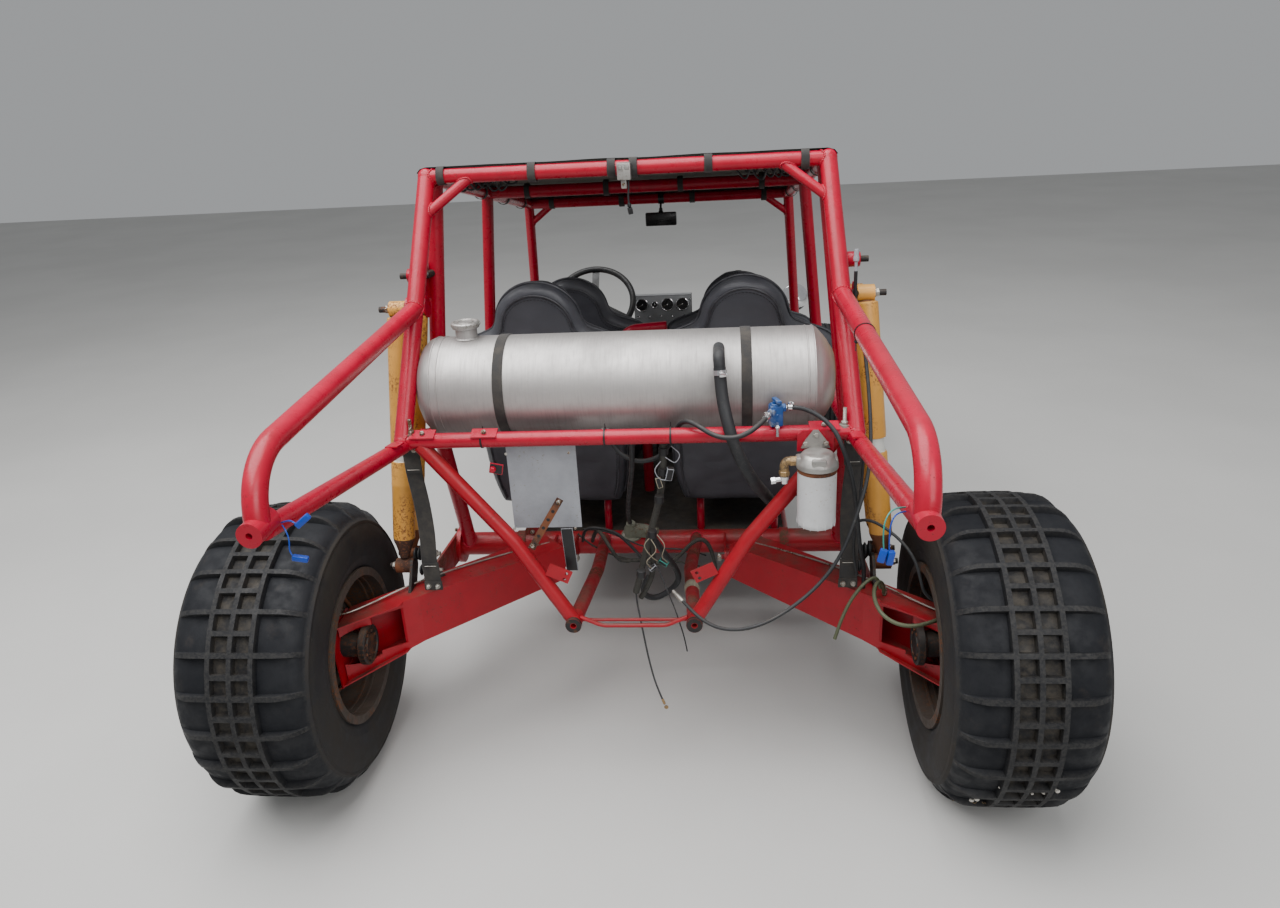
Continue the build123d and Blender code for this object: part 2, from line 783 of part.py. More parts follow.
def knuckle(side):
    """Ears round the king pin, a bridge outboard of it, the spindle and the steering arm."""
    with BuildPart() as body:
        for ear_side in (-1, 1):
            ear_middle = front_hub_middle + ear_side * (carrier_half + 1 + ear_thickness / 2)
            with BuildSketch(Plane.XY.offset(ear_middle - ear_thickness / 2)) as ear_plan:
                with Locations((side * kingpin_x, front_axle), (side * (kingpin_x + 42), front_axle)):
                    Circle(22)
                make_hull()
            extrude(ear_plan.sketch, amount=ear_thickness)
        bridge_height = 2 * (carrier_half + 1 + ear_thickness)
        with Locations((side * (kingpin_x + 46), front_axle, front_hub_middle)):
            Box(36, 44, bridge_height)
        spindle_x = side * (kingpin_x + 60 + front_hub_reach) / 2
        with Locations(Location((spindle_x, front_axle, front_hub_height), (0, 90, 0))):
            Cylinder(spindle_radius, front_hub_reach - kingpin_x - 60)
        with BuildSketch(Plane.XY.offset(steering_arm_height - steering_arm_thickness / 2)) as arm_plan:
            with Locations(
                (side * (kingpin_x + 20), front_axle - 10),
                (side * (kingpin_x - 20), front_axle - steering_arm_back),
            ):
                Circle(15)
            make_hull()
        extrude(arm_plan.sketch, amount=steering_arm_thickness)
        with Locations((side * kingpin_x, front_axle, front_hub_middle)):
            Cylinder(kingpin_radius + gap, 2 * bridge_height, mode=Mode.SUBTRACT)
            Cylinder(kingpin_boss + 3, 2 * carrier_half + 2, mode=Mode.SUBTRACT)
    return body


left_knuckle = knuckle(-1)
finish(left_knuckle, "knuckle_left")
right_knuckle = knuckle(1)
finish(right_knuckle, "knuckle_right")

tie_rod_reach = kingpin_x - 20
with BuildPart() as tie_rods:
    left_end, right_end = cross_ends(place(tie_rod_reach, rack_ahead, rack_height))
    add_straight(left_end, right_end, tie_rod_radius)
    for side in (-1, 1):
        with Locations((side * tie_rod_reach, rear_axle + rack_ahead, rack_height - 2)):
            Cylinder(15, 2 * (rack_height - 2 - steering_arm_height - steering_arm_thickness / 2 - gap))
finish(tie_rods, "tie_rods")

steering_x = -293.0
wheel_hub = Vector(steering_x, rear_axle + 1800, 901)
pinion = Vector(steering_x, rear_axle + rack_ahead, rack_height)
column_axis = (wheel_hub - pinion).normalized()
shaft_radius_steering = 9.5
rack_housing_radius = 23.0
pinion_boss_length = 70.0
column_ring_centre = pinion + column_axis * ((waist_front.Y - pinion.Y) / column_axis.Y)
with BuildPart() as steering_rack:
    rack_left = place(steering_x - 35, rack_ahead, rack_height)
    rack_right = place(210, rack_ahead, rack_height)
    add_straight(rack_left, rack_right, rack_housing_radius)
    add_straight(pinion, pinion + column_axis * pinion_boss_length, 20.0)
    for mount_x in (-190.0, 150.0):
        with Locations((mount_x, rear_axle + rack_ahead, (rail_rear.Z + rack_height) / 2)):
            Box(24, 30, rack_height - rail_rear.Z)
    with Locations(Location(pinion, (0, 90, 0))):
        Cylinder(tie_rod_radius + gap, 1200, mode=Mode.SUBTRACT)
    with BuildSketch(Plane(origin=pinion + column_axis * 32, z_dir=column_axis)) as pinion_bore:
        Circle(shaft_radius_steering + gap)
    extrude(pinion_bore.sketch, amount=pinion_boss_length, mode=Mode.SUBTRACT)
    add(lower_rails.part, mode=Mode.SUBTRACT)
finish(steering_rack, "steering_rack")

column_ring_radius = 18.0
column_ring_length = 30.0
column_plate = (8.0, 26.0)
with BuildPart() as nose_tubes:
    add_straight(waist_front, nose_top, main_tube)
    mirror(about=Plane.YZ)
    left_end, right_end = cross_ends(waist_front)
    add_straight(left_end, right_end, main_tube)
    ring_start = column_ring_centre - column_axis * column_ring_length / 2
    with BuildSketch(Plane(origin=ring_start, z_dir=column_axis)) as ring:
        Circle(column_ring_radius)
    extrude(ring.sketch, amount=column_ring_length)
    with Locations((steering_x, waist_front.Y, (waist_front.Z + column_ring_centre.Z) / 2)):
        Box(*column_plate, column_ring_centre.Z - waist_front.Z)
    with BuildSketch(Plane(origin=column_ring_centre - column_axis * 40, z_dir=column_axis)) as shaft_way:
        Circle(shaft_radius_steering + gap)
    extrude(shaft_way.sketch, amount=80, mode=Mode.SUBTRACT)
    for neighbour in (side_tubes, pillars, front_beam):
        add(neighbour.part, mode=Mode.SUBTRACT)
finish(nose_tubes, "nose_tubes")

wheel_ring_radius = 165.0
wheel_grip_radius = 13.0
with BuildPart() as steering_wheel:
    add_straight(pinion + column_axis * 36, wheel_hub, shaft_radius_steering)
    hub_plane = Plane(origin=wheel_hub, x_dir=Vector(1, 0, 0), z_dir=column_axis)
    with BuildSketch(hub_plane) as hub_disc:
        Circle(34)
    extrude(hub_disc.sketch, amount=10)
    with BuildSketch(hub_plane) as spokes:
        with PolarLocations(0, 3, start_angle=90):
            with Locations((wheel_ring_radius / 2, 0)):
                Rectangle(wheel_ring_radius, 30)
    extrude(spokes.sketch, amount=4)
    ring_plane = Plane(origin=wheel_hub + column_axis * 6, x_dir=Vector(1, 0, 0), z_dir=column_axis)
    grip_plane = Plane(origin=ring_plane.origin, x_dir=ring_plane.x_dir, z_dir=ring_plane.y_dir)
    with BuildSketch(grip_plane) as grip:
        with Locations((wheel_ring_radius, 0)):
            Circle(wheel_grip_radius)
    revolve(grip.sketch, axis=Axis(ring_plane.origin, column_axis))
finish(steering_wheel, "steering_wheel")

front_shock_x = 530.0
front_shock_top = Vector(front_shock_x, nose_low.Y, 590)
front_shock_low = Vector(front_shock_x, front_axle + 55, kingpin_low + 12)
front_shock_steps = ((22.0, 20.0), (170.0, 20.0), (172.0, 16.0), (285.0, 16.0), (300.0, 13.0))
front_eye_radius = 15.0
front_eye_length = 30.0
front_stud_radius = 7.0
with BuildPart() as shocks:
    add_shock(front_shock_top, front_shock_low, front_shock_steps, front_eye_radius, front_eye_length)
    add_straight(Vector(tower_x, front_shock_top.Y, front_shock_top.Z), front_shock_top, front_stud_radius)
    add_straight(Vector(link_x, front_shock_low.Y, front_shock_low.Z), front_shock_low, front_stud_radius)
    mirror(about=Plane.YZ)
    add(front_beam.part, mode=Mode.SUBTRACT)
    add(front_arms.part, mode=Mode.SUBTRACT)
    add(rear_shocks.part)
finish(shocks, "shocks")

# Wheels

def add_ring_section(points, centre_x, centre_y, centre_z):
    """A wheel's section, given as (across from its middle, radius), turned about its axle."""
    with BuildSketch(Plane.XY) as section:
        Polygon(*points, align=None)
    turned = section.sketch.moved(Location((centre_x, centre_y, centre_z)))
    revolve(turned, axis=Axis((centre_x, centre_y, centre_z), (1, 0, 0)))


rear_rim_half = 165.0
drum_back = backing_x + backing_thickness + 2
disc_x = 905.0
hub_end = 955.0
rim_lip_width = 8.0


def rim_points(half, disc_offset, drum_inner, drum_radius, hub_radius, hub_reach, bore):
    """Barrel, centre disc, brake drum and hub of a wheel, inboard side negative."""
    return (
        (-half, rim_lip_radius),
        (-half + rim_lip_width, rim_lip_radius),
        (-half + rim_lip_width, rim_barrel_radius + rim_wall),
        (half - rim_lip_width, rim_barrel_radius + rim_wall),
        (half - rim_lip_width, rim_lip_radius),
        (half, rim_lip_radius),
        (half, rim_barrel_radius),
        (disc_offset + rim_wall, rim_barrel_radius),
        (disc_offset + rim_wall, hub_radius),
        (hub_reach, hub_radius),
        (hub_reach, bore),
        (drum_inner, bore),
        (drum_inner, drum_radius),
        (disc_offset, drum_radius),
        (disc_offset, rim_barrel_radius),
        (-half, rim_barrel_radius),
    )


def wheel_rim(name, side, centre_x, centre_y, centre_z, points):
    with BuildPart() as rim:
        add_ring_section([(side * x, radius) for x, radius in points], side * centre_x, centre_y, centre_z)
    finish(rim, name)
    return rim


rear_rim_points = rim_points(
    rear_rim_half,
    disc_x - rear_half_track,
    drum_back - rear_half_track,
    140.0,
    58.0,
    hub_end - rear_half_track,
    0.0,
)
shaft_points = (
    (drum_back - rear_half_track - 70, 0),
    (drum_back - rear_half_track - 70, shaft_radius),
    (drum_back - rear_half_track + 5, shaft_radius),
    (drum_back - rear_half_track + 5, 0),
)
front_rim_half = 70.0
front_drum_inner = -30.0
front_rim_points = rim_points(
    front_rim_half,
    12.0,
    front_drum_inner,
    118.0,
    40.0,
    60.0,
    spindle_radius + gap,
)
rear_places = (("rear_left", -1), ("rear_right", 1))
front_places = (("front_left", -1), ("front_right", 1))
for corner_name, side in rear_places:
    with BuildPart() as rim:
        for points in (rear_rim_points, shaft_points):
            section_points = [(side * x, radius) for x, radius in points]
            add_ring_section(section_points, side * rear_half_track, rear_axle, axle_height)
    finish(rim, f"rim_{corner_name}")
for corner_name, side in front_places:
    wheel_rim(f"rim_{corner_name}", side, front_half_track, front_axle, front_hub_height, front_rim_points)

tyre_sides = 36
tread_depth = 14.0
bead_radius = rim_barrel_radius + rim_wall
lip_clearance = 2.0
rear_sidewall = rear_tyre_width / 2
front_sidewall = front_tyre_width / 2
rib_width = 18.0
rib_places = (-52.0, 0.0, 52.0)
lug_width = 17.0
lug_count = tyre_sides // 2
tread_root = rear_tyre_radius - tread_depth
rear_stations = (
    # across from the middle, radius, from one side's widest place to the crown
    (rear_sidewall, tread_root - 95),
    (rear_sidewall - 12, tread_root - 40),
    (rear_sidewall - 45, tread_root - 8),
    (rear_sidewall - 100, tread_root),
)
tread_stations = (
    (rear_sidewall - 10, tread_root - 48),
    (rear_sidewall - 16, tread_root - 22),
    (rear_sidewall - 50, rear_tyre_radius - 6),
    (rear_sidewall - 95, rear_tyre_radius),
)
front_stations = (
    (front_sidewall, front_tyre_radius - 49),
    (front_sidewall - 10, front_tyre_radius - 24),
    (front_sidewall - 30, front_tyre_radius - 10),
    (14.0, front_tyre_radius - 8),
    (10.0, front_tyre_radius),
)


def whole_ring(half_points):
    """Both halves of a wheel section from one half's points."""
    return list(half_points) + [(-x, radius) for x, radius in reversed(half_points)]


def add_stations(centre, stations, mode=Mode.ADD):
    """Flat-sided rings from one station, (across, radius), to the next."""
    sections = []
    for x, radius in stations:
        with BuildSketch(Plane.YZ.offset(centre.X + x)) as section:
            with Locations((centre.Y, centre.Z)):
                RegularPolygon(radius, tyre_sides)
        sections.append(section.sketch)
    loft(sections, ruled=True, mode=mode)


def add_carcass(centre, stations, rim_half):
    """A tyre without its tread, open for the rim and hollowed beside the rim's lips."""
    add_stations(centre, whole_ring(stations))
    bore = bead_radius / cos(radians(180 / tyre_sides)) + gap
    widest_x, widest_radius = stations[0]
    lip_x = rim_half - rim_lip_width - gap
    add_stations(centre, ((-widest_x, bore), (widest_x, bore)), Mode.SUBTRACT)
    for side in (-1, 1):
        flare = ((side * lip_x, rim_lip_radius + lip_clearance), (side * widest_x, widest_radius))
        add_stations(centre, flare, Mode.SUBTRACT)


def tread_bars(centre):
    """Cross bars of the tread, each on the middle of a flat."""
    with BuildPart(mode=Mode.PRIVATE) as bars:
        add_stations(centre, whole_ring(tread_stations))
        add_stations(centre, whole_ring(rear_stations[1:]), Mode.SUBTRACT)
        with BuildSketch(Plane.YZ.offset(centre.X - rear_sidewall)) as rays:
            with Locations((centre.Y, centre.Z)):
                with PolarLocations(rear_tyre_radius - 30, lug_count, start_angle=180 / tyre_sides):
                    Rectangle(120, lug_width)
        extrude(rays.sketch, amount=2 * rear_sidewall, mode=Mode.INTERSECT)
    return bars.part


for corner_name, side in rear_places:
    centre = Vector(side * rear_half_track, rear_axle, axle_height)
    with BuildPart() as tyre:
        add_carcass(centre, rear_stations, rear_rim_half)
        for rib_x in rib_places:
            with BuildSketch(Plane.YZ.offset(centre.X + rib_x - rib_width / 2)) as rib:
                with Locations((centre.Y, centre.Z)):
                    RegularPolygon(rear_tyre_radius, tyre_sides)
                    RegularPolygon(tread_root - 4, tyre_sides, mode=Mode.SUBTRACT)
            extrude(rib.sketch, amount=rib_width)
        add(tread_bars(centre))
    finish(tyre, f"tyre_{corner_name}")

for corner_name, side in front_places:
    with BuildPart() as tyre:
        centre = Vector(side * front_half_track, front_axle, front_hub_height)
        add_carcass(centre, front_stations, front_rim_half)
    finish(tyre, f"tyre_{corner_name}")

# Fuel tank and what sits on it

neck_radius = 27.0
neck_x = -405.0
neck_top = tank_axis.Z + tank_radius + 30
filler_cap_radius = 37.0
filler_cap_height = 12.0
vent_pipe_radius = 12.0
elbow_drop = 22.0
outlet_radius = 5.0
with BuildPart() as fuel_tank:
    with BuildSketch(Plane.XY) as tank_section:
        with BuildLine():
            Polyline(
                (-tank_half_length, 0),
                (-tank_half_length, tank_end_radius),
                (-tank_half_length + tank_dome, tank_radius),
                (tank_half_length - tank_dome, tank_radius),
                (tank_half_length, tank_end_radius),
                (tank_half_length, 0),
                close=True,
            )
        make_face()
    revolve(tank_section.sketch.moved(Location(tank_axis)), axis=Axis(tank_axis, (1, 0, 0)))
    neck_foot = Vector(neck_x, tank_axis.Y, tank_axis.Z)
    neck_end = Vector(neck_x, tank_axis.Y, neck_top)
    add_straight(neck_foot, neck_end, neck_radius)
    vent_run = (cord_point("vent_hose", 0) - cord_point("vent_hose", 1)).normalized()
    vent_end = cord_point("vent_hose", 0) + vent_run * gap
    vent_elbow = vent_end + vent_run * elbow_drop
    add_straight(vent_end, vent_elbow, vent_pipe_radius)
    with Locations(vent_elbow):
        Sphere(vent_pipe_radius)
    add_straight(vent_elbow, vent_elbow + Vector(0, tank_radius, 0), vent_pipe_radius)
    outlet_end = cord_point("fuel_hose_left", -1)
    outlet_run = (outlet_end - cord_point("fuel_hose_left", -2)).normalized()
    add_straight(outlet_end, outlet_end + outlet_run * 60, outlet_radius)
finish(fuel_tank, "fuel_tank")

with BuildPart() as filler_cap:
    add_straight(neck_end, neck_end + Vector(0, 0, filler_cap_height), filler_cap_radius)
finish(filler_cap, "filler_cap")

band_left_x = -310.0
band_right_x = 299.0
band_width = 26.0
limit_strap_width = 46.0
limit_strap_thickness = 8.0
with BuildPart() as straps:
    for side, band_x in ((-1, band_left_x), (1, band_right_x)):
        with BuildSketch(Plane.YZ.offset(band_x - band_width / 2)) as band:
            with Locations((tank_axis.Y, tank_axis.Z)):
                Circle(tank_radius + band_thickness)
                Circle(tank_radius, mode=Mode.SUBTRACT)
        extrude(band.sketch, amount=band_width)
        strap_top = between(rear_low, hoop_waist, 0.15)
        with BuildSketch(Plane.YZ.offset(side * strap_top.X - limit_strap_width / 2)) as strap:
            Polygon(
                (strap_top.Y - limit_strap_thickness / 2, strap_top.Z),
                (strap_top.Y + limit_strap_thickness / 2, strap_top.Z),
                (strap_top.Y + 20 + limit_strap_thickness / 2, 482),
                (strap_top.Y + 20 - limit_strap_thickness / 2, 482),
                align=None,
            )
        extrude(strap.sketch, amount=limit_strap_width)
    add_straight(cable_clip_top, cable_start, cable_clip_radius)
    for neighbour in (side_tubes, rear_cross_tubes, rear_down_tubes, loop_upper_tubes):
        add(neighbour.part, mode=Mode.SUBTRACT)
    add(arm_shell, mode=Mode.SUBTRACT)
finish(straps, "straps")

filter_x = 457.0
filter_radius = 46.0
filter_head_radius = 49.0
filter_head_height = 36.0
filter_top = 872.0
filter_height = 150.0
filter_bracket = 6.0
filter_bracket_y = rear_low.Y - main_tube - gap - filter_bracket / 2
filter_y = filter_bracket_y - filter_bracket / 2 - filter_head_radius + 1
with BuildPart() as oil_filter:
    with Locations((filter_x, filter_y, filter_top - filter_height / 2)):
        Cylinder(filter_radius, filter_height)
finish(oil_filter, "oil_filter")
with BuildPart() as filter_head:
    with Locations((filter_x, filter_y, filter_top + filter_head_height / 2)):
        Cylinder(filter_head_radius, filter_head_height)
    with Locations((filter_x, filter_bracket_y, (filter_top + rear_low.Z + main_tube) / 2)):
        Box(86, filter_bracket, rear_low.Z + main_tube - filter_top)
    add(rear_cross_tubes.part, mode=Mode.SUBTRACT)
    add(cradle_tubes.part, mode=Mode.SUBTRACT)
finish(filter_head, "filter_head")

with BuildPart() as blank_plate:
    with BuildSketch(Plane.XZ.offset(-rear_low.Y - main_tube - gap)):
        Polygon((-302, rear_low.Z), (-302, 702), (-126, 702), (-126, rear_low.Z), align=None)
    extrude(amount=-3)
finish(blank_plate, "blank_plate")

# Roof: fabric top, small light, mirror

fabric = 3.0
fabric_lift = heavy_tube + weld_proud + gap
fabric_overhang = 22.0
roof_slope = Vector(0, roof_front.Y - roof_rear.Y, roof_front.Z - roof_rear.Z)
canopy_plane = Plane(
    origin=(0, roof_rear.Y, roof_rear.Z),
    x_dir=(1, 0, 0),
    z_dir=Vector(1, 0, 0).cross(roof_slope),
)
with BuildPart() as canopy:
    with BuildSketch(canopy_plane.offset(fabric_lift)) as canopy_outline:
        with Locations((0, roof_slope.length / 2)):
            Rectangle(2 * (roof_rear.X + fabric_overhang), roof_slope.length + 2 * fabric_overhang)
    extrude(canopy_outline.sketch, amount=fabric)
finish(canopy, "canopy")

light_centre = Vector(4, roof_rear.Y - main_tube - gap - 13, roof_rear.Z - 6)
with BuildPart() as roof_light:
    with Locations(light_centre):
        Box(34, 26, 42)
finish(roof_light, "roof_light")

mirror_centre = Vector(17, roof_front.Y - 60, 1264)
with BuildPart() as cab_mirror:
    with Locations(mirror_centre):
        Box(124, 18, 54)
    add_straight(mirror_centre, Vector(17, roof_front.Y, roof_front.Z), 5.0)
    add(roof_cross_bars.part, mode=Mode.SUBTRACT)
finish(cab_mirror, "cab_mirror")

# Seats

seat_centre_x = 310.0
seat_lean = 12.0
seat_height = 805.0
seat_back_thickness = 85.0
rear_seat_base = 440.0
seat_rows = (
    # distance ahead of the back's top edge, height of the top
    (586.0, rear_seat_base + seat_height),
    (1250.0, floor_top + gap + seat_height),
)
seat_outline = (
    (205, 0),
    (235, 130),
    (235, 495),
    (278, 590),
    (268, 636),
    (156, 664),
)
seat_head_radius = 157.0
seat_rise = seat_height / cos(radians(seat_lean))


def seat_plane(side, ahead, top):
    lean = radians(seat_lean)
    origin = Vector(side * seat_centre_x, rear_axle + ahead + seat_height * tan(lean), top - seat_height)
    return Plane(origin=origin, x_dir=(1, 0, 0), z_dir=(0, -cos(lean), -sin(lean)))


with BuildPart() as seat_backs:
    for ahead, top in seat_rows:
        for side in (-1, 1):
            with BuildSketch(seat_plane(side, ahead, top)) as back_outline:
                half = [(x, y) for x, y in seat_outline]
                Polygon(*half, *[(-x, y) for x, y in reversed(half)], align=None)
                with Locations((0, seat_rise - seat_head_radius)):
                    Circle(seat_head_radius)
            extrude(back_outline.sketch, amount=-seat_back_thickness)
finish(seat_backs, "seat_backs")

cushion_width = 430.0
cushion_depth = 470.0
cushion_height = 150.0
cushion_back_height = 130.0
wing_width = 42.0
wing_depth = 95.0
lean_run = tan(radians(seat_lean))
back_run = seat_height * lean_run + seat_back_thickness / cos(radians(seat_lean)) + gap
with BuildPart() as seat_cushions:
    for ahead, top in seat_rows:
        back_foot = rear_axle + ahead + back_run
        base = top - seat_height
        for side in (-1, 1):
            with BuildSketch(Plane.YZ.offset(side * seat_centre_x)) as cushion_side:
                with BuildLine():
                    Polyline(
                        (back_foot, base),
                        (back_foot + cushion_depth - 40, base),
                        (back_foot + cushion_depth, base + cushion_height + 15),
                        (back_foot - cushion_back_height * lean_run, base + cushion_back_height),
                        close=True,
                    )
                make_face()
            extrude(cushion_side.sketch, amount=cushion_width / 2, both=True)
finish(seat_cushions, "seat_cushions")

with BuildPart() as seat_wings:
    for ahead, top in seat_rows:
        back_foot = rear_axle + ahead + back_run
        base = top - seat_height
        for side in (-1, 1):
            for wing_side in (-1, 1):
                wing_x = side * seat_centre_x + wing_side * (cushion_width / 2 - wing_width / 2)
                low = cushion_height + 14
                high = 590.0
                with BuildSketch(Plane.YZ.offset(wing_x)) as wing_outline:
                    Polygon(
                        (back_foot - low * lean_run, base + low),
                        (back_foot - low * lean_run + 2.2 * wing_depth, base + low + 6),
                        (back_foot - low * lean_run + wing_depth * 0.8, base + low + 150),
                        (back_foot - high * lean_run + wing_depth * 0.6, base + high - 40),
                        (back_foot - high * lean_run, base + high),
                        align=None,
                    )
                extrude(wing_outline.sketch, amount=wing_width / 2, both=True)
finish(seat_wings, "seat_wings")

riser_tube = 25.4 / 2
riser_half_width = 150.0
riser_top = rear_seat_base - riser_tube - gap
riser_bend = 40.0
grab_bend = 60.0
grab_points = (
    (-40, 1130, floor_top + gap),
    (-40, 1130, 620),
    (-125, 1105, 950),
    (52, 1100, 962),
)
with BuildPart() as seat_tubes:
    add_bent([place(*point) for point in grab_points], main_tube, grab_bend)
    for side in (-1, 1):
        for riser_side in (-1, 1):
            riser_x = side * seat_centre_x + riser_side * riser_half_width
            rear_foot, front_foot = floor_bar_places[0][1], floor_bar_places[1][1]
            if abs(riser_x) > rail_bend.X:
                riser_x = side * (rail_bend.X - 30)
            add_bent(
                (
                    Vector(riser_x, rear_axle + rear_foot, floor_top + gap),
                    Vector(riser_x, rear_axle + rear_foot, riser_top),
                    Vector(riser_x, rear_axle + front_foot, riser_top),
                    Vector(riser_x, rear_axle + front_foot, floor_top + gap),
                ),
                riser_tube,
                riser_bend,
            )
finish(seat_tubes, "seat_tubes")

# Cab

dash_width = 250.0
dash_height = 116.0
dash_depth = 40.0
dash_wall = 3.0
dash_centre = Vector(-5, waist_front.Y, waist_front.Z + main_tube + gap + dash_height / 2)
gauge_depth = 10.0
gauge_lift = 14.0
gauges_table = (
    # across from the panel's middle, radius
    (-90.0, 28.0),
    (-35.0, 15.0),
    (20.0, 28.0),
    (84.0, 28.0),
)
with BuildPart() as dash_panel:
    with Locations(dash_centre):
        Box(dash_width, dash_depth, dash_height)
    with Locations(dash_centre + Vector(0, dash_wall, 0)):
        Box(dash_width - 2 * dash_wall, dash_depth, dash_height - 2 * dash_wall, mode=Mode.SUBTRACT)
    for gauge_x, gauge_radius in gauges_table:
        gauge_centre = dash_centre + Vector(gauge_x, -(dash_depth + gauge_depth) / 2, gauge_lift)
        with Locations(Location(gauge_centre, (90, 0, 0))):
            Cylinder(gauge_radius, gauge_depth)
finish(dash_panel, "dash_panel")

shifter_ahead = 1560.0
pedal_row = (-360.0, -290.0, -220.0)
lever_radius = 7.0
pad_lean = 0.4
with BuildPart() as cab_controls:
    with Locations((pedal_row[1], rear_axle + pedal_ahead, floor_top + gap + 4)):
        Box(190, 90, 8)
    for pedal_x in pedal_row:
        low_point = Vector(pedal_x, rear_axle + pedal_ahead, floor_top + 6)
        high_point = Vector(pedal_x, rear_axle + pedal_ahead - 60, floor_top + 165)
        add_straight(low_point, high_point, lever_radius)
        with BuildSketch(Plane(origin=high_point, z_dir=(0, -cos(pad_lean), sin(pad_lean)))) as pad:
            RectangleRounded(50, 62, 8)
        extrude(pad.sketch, amount=8)
    with Locations((0, rear_axle + shifter_ahead, floor_top + gap + 20)):
        Box(70, 90, 40)
    lever_foot = place(0, shifter_ahead, floor_top + 30)
    lever_top = place(0, shifter_ahead - 60, floor_top + 330)
    add_straight(lever_foot, lever_top, lever_radius)
    with Locations(lever_top + Vector(0, -2, 15)):
        Sphere(24)
finish(cab_controls, "cab_controls")

lamp_radius = 62.0
lamp_centre = place(612, 2150, 800)
with BuildPart() as headlamps:
    with BuildSketch(Plane.XY) as lamp_section:
        with BuildLine():
            Polyline(
                (0, -70),
                (22, -66),
                (46, -38),
                (lamp_radius - 4, 20),
                (lamp_radius, 26),
                (lamp_radius, 42),
                (0, 50),
                close=True,
            )
        make_face()
    revolve(lamp_section.sketch.moved(Location(lamp_centre)), axis=Axis(lamp_centre, (0, 1, 0)))
    lamp_foot = between(waist_front, nose_top, 0.3)
    add_straight(lamp_foot, lamp_centre - Vector(0, 0, 20), 8.0)
    mirror(about=Plane.YZ)
    add(nose_tubes.part, mode=Mode.SUBTRACT)
finish(headlamps, "headlamps")

valve_width = 34.0
valve_height = 56.0
valve_cap = 14.0
barb_radius = 4.5
valve_foot = Vector(365, rear_low.Y, rear_low.Z + main_tube + gap)
valve_heart = place(365, 40, 1018)
with BuildPart() as fuel_valve:
    with Locations(valve_foot + Vector(0, 0, valve_height / 2)):
        Box(valve_width, valve_width, valve_height)
    add_straight(valve_foot, valve_foot + Vector(0, 0, valve_height + valve_cap), 9.0)
    add_straight(valve_heart, cord_point("fuel_hose_left", 0), barb_radius)
    add_straight(valve_heart, cord_point("fuel_hose_right", 0), barb_radius)
finish(fuel_valve, "fuel_valve")

# Hoses and cables

for cord_name in cord_routes:
    with BuildPart() as cord:
        add_cord(cord_name)
    finish(cord, cord_name)
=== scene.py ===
from math import cos, pi, radians, sin, sqrt, tan

import bmesh
import bpy
from bpy.props import FloatProperty, FloatVectorProperty, IntProperty, PointerProperty
from mathutils import Euler, Matrix, Vector, noise


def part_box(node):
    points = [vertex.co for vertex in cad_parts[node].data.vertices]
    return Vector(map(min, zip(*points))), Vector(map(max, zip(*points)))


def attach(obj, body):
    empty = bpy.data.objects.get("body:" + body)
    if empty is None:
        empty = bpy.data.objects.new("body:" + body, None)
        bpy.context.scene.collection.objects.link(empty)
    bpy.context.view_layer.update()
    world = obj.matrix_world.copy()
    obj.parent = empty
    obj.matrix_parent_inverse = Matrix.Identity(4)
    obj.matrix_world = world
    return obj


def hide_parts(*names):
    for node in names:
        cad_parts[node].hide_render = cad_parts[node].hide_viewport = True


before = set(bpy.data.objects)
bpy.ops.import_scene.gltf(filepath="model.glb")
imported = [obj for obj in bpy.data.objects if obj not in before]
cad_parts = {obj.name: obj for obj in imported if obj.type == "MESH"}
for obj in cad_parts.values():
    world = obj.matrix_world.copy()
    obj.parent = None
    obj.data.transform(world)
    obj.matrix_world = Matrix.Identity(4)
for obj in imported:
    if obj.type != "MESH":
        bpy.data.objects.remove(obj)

bl_info = {
    "name": "Sand Rail Dune Buggy",
    "version": (1, 0, 0),
    "blender": (4, 5, 0),
    "location": "View3D > Sidebar > Buggy",
    "description": "Dresses the frame of a four-seat sand rail with its finishes and small parts",
    "category": "Object",
}


def node_middle(node):
    low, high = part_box(node)
    return (low + high) / 2


# The frame is in metres: +Y is the way it drives, +X its right side, +Z up.
rear_axle = node_middle("tyre_rear_left").y
front_axle = node_middle("tyre_front_left").y
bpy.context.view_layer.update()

# Tube radii
heavy_tube = 0.02222
main_tube = 0.01905
brace_tube = 0.013
torsion_tube = 0.038

# Radius of a weld bead
weld_bead = 0.0027

# Share of the roof's length at which its middle bar lies
middle_bar = 0.486

# Points of the frame: across, ahead of the rear axle, height
frame_points = {
    "roof_rear": (0.515, 0.395, 1.554),
    "roof_front": (0.514, 1.681, 1.336),
    "rear_low": (0.554, 0.04, 0.955),
    "hoop_waist": (0.588, 0.425, 0.836),
    "knee": (0.568, -0.648, 1.181),
    "cradle_foot": (0.157, 0.005, 0.456),
    "horn_bend": (0.137, 0.33, 0.425),
    "horn_end": (0.15, 0.64, 0.372),
    "waist_front": (0.566, 1.879, 0.75),
    "nose_top": (0.205, 2.6, 0.44),
    "shock_top": (0.601, 0.277, 1.236),
    "shock_low": (0.659, 0.177, 0.53),
    "second_shock_top": (0.59, 0.392, 1.215),
    "second_shock_low": (0.668, 0.27, 0.52),
    "spare_pin": (0.584, 0.394, 1.3),
    "hoop_foot": (0.604, 0.624, 0.368),
    "torsion_end": (0.628, 0.64, 0.355),
}


def spot(across, ahead, height):
    """A point given by how far it lies across, ahead of the rear axle and up."""
    return Vector((across, rear_axle + ahead, height))


def corner(name, side=1):
    across, ahead, height = frame_points[name]
    return spot(side * across, ahead, height)


def spots(places, side=1):
    return [spot(side * across, ahead, height) for across, ahead, height in places]


def part_way(first, second, share):
    return first + (second - first) * share


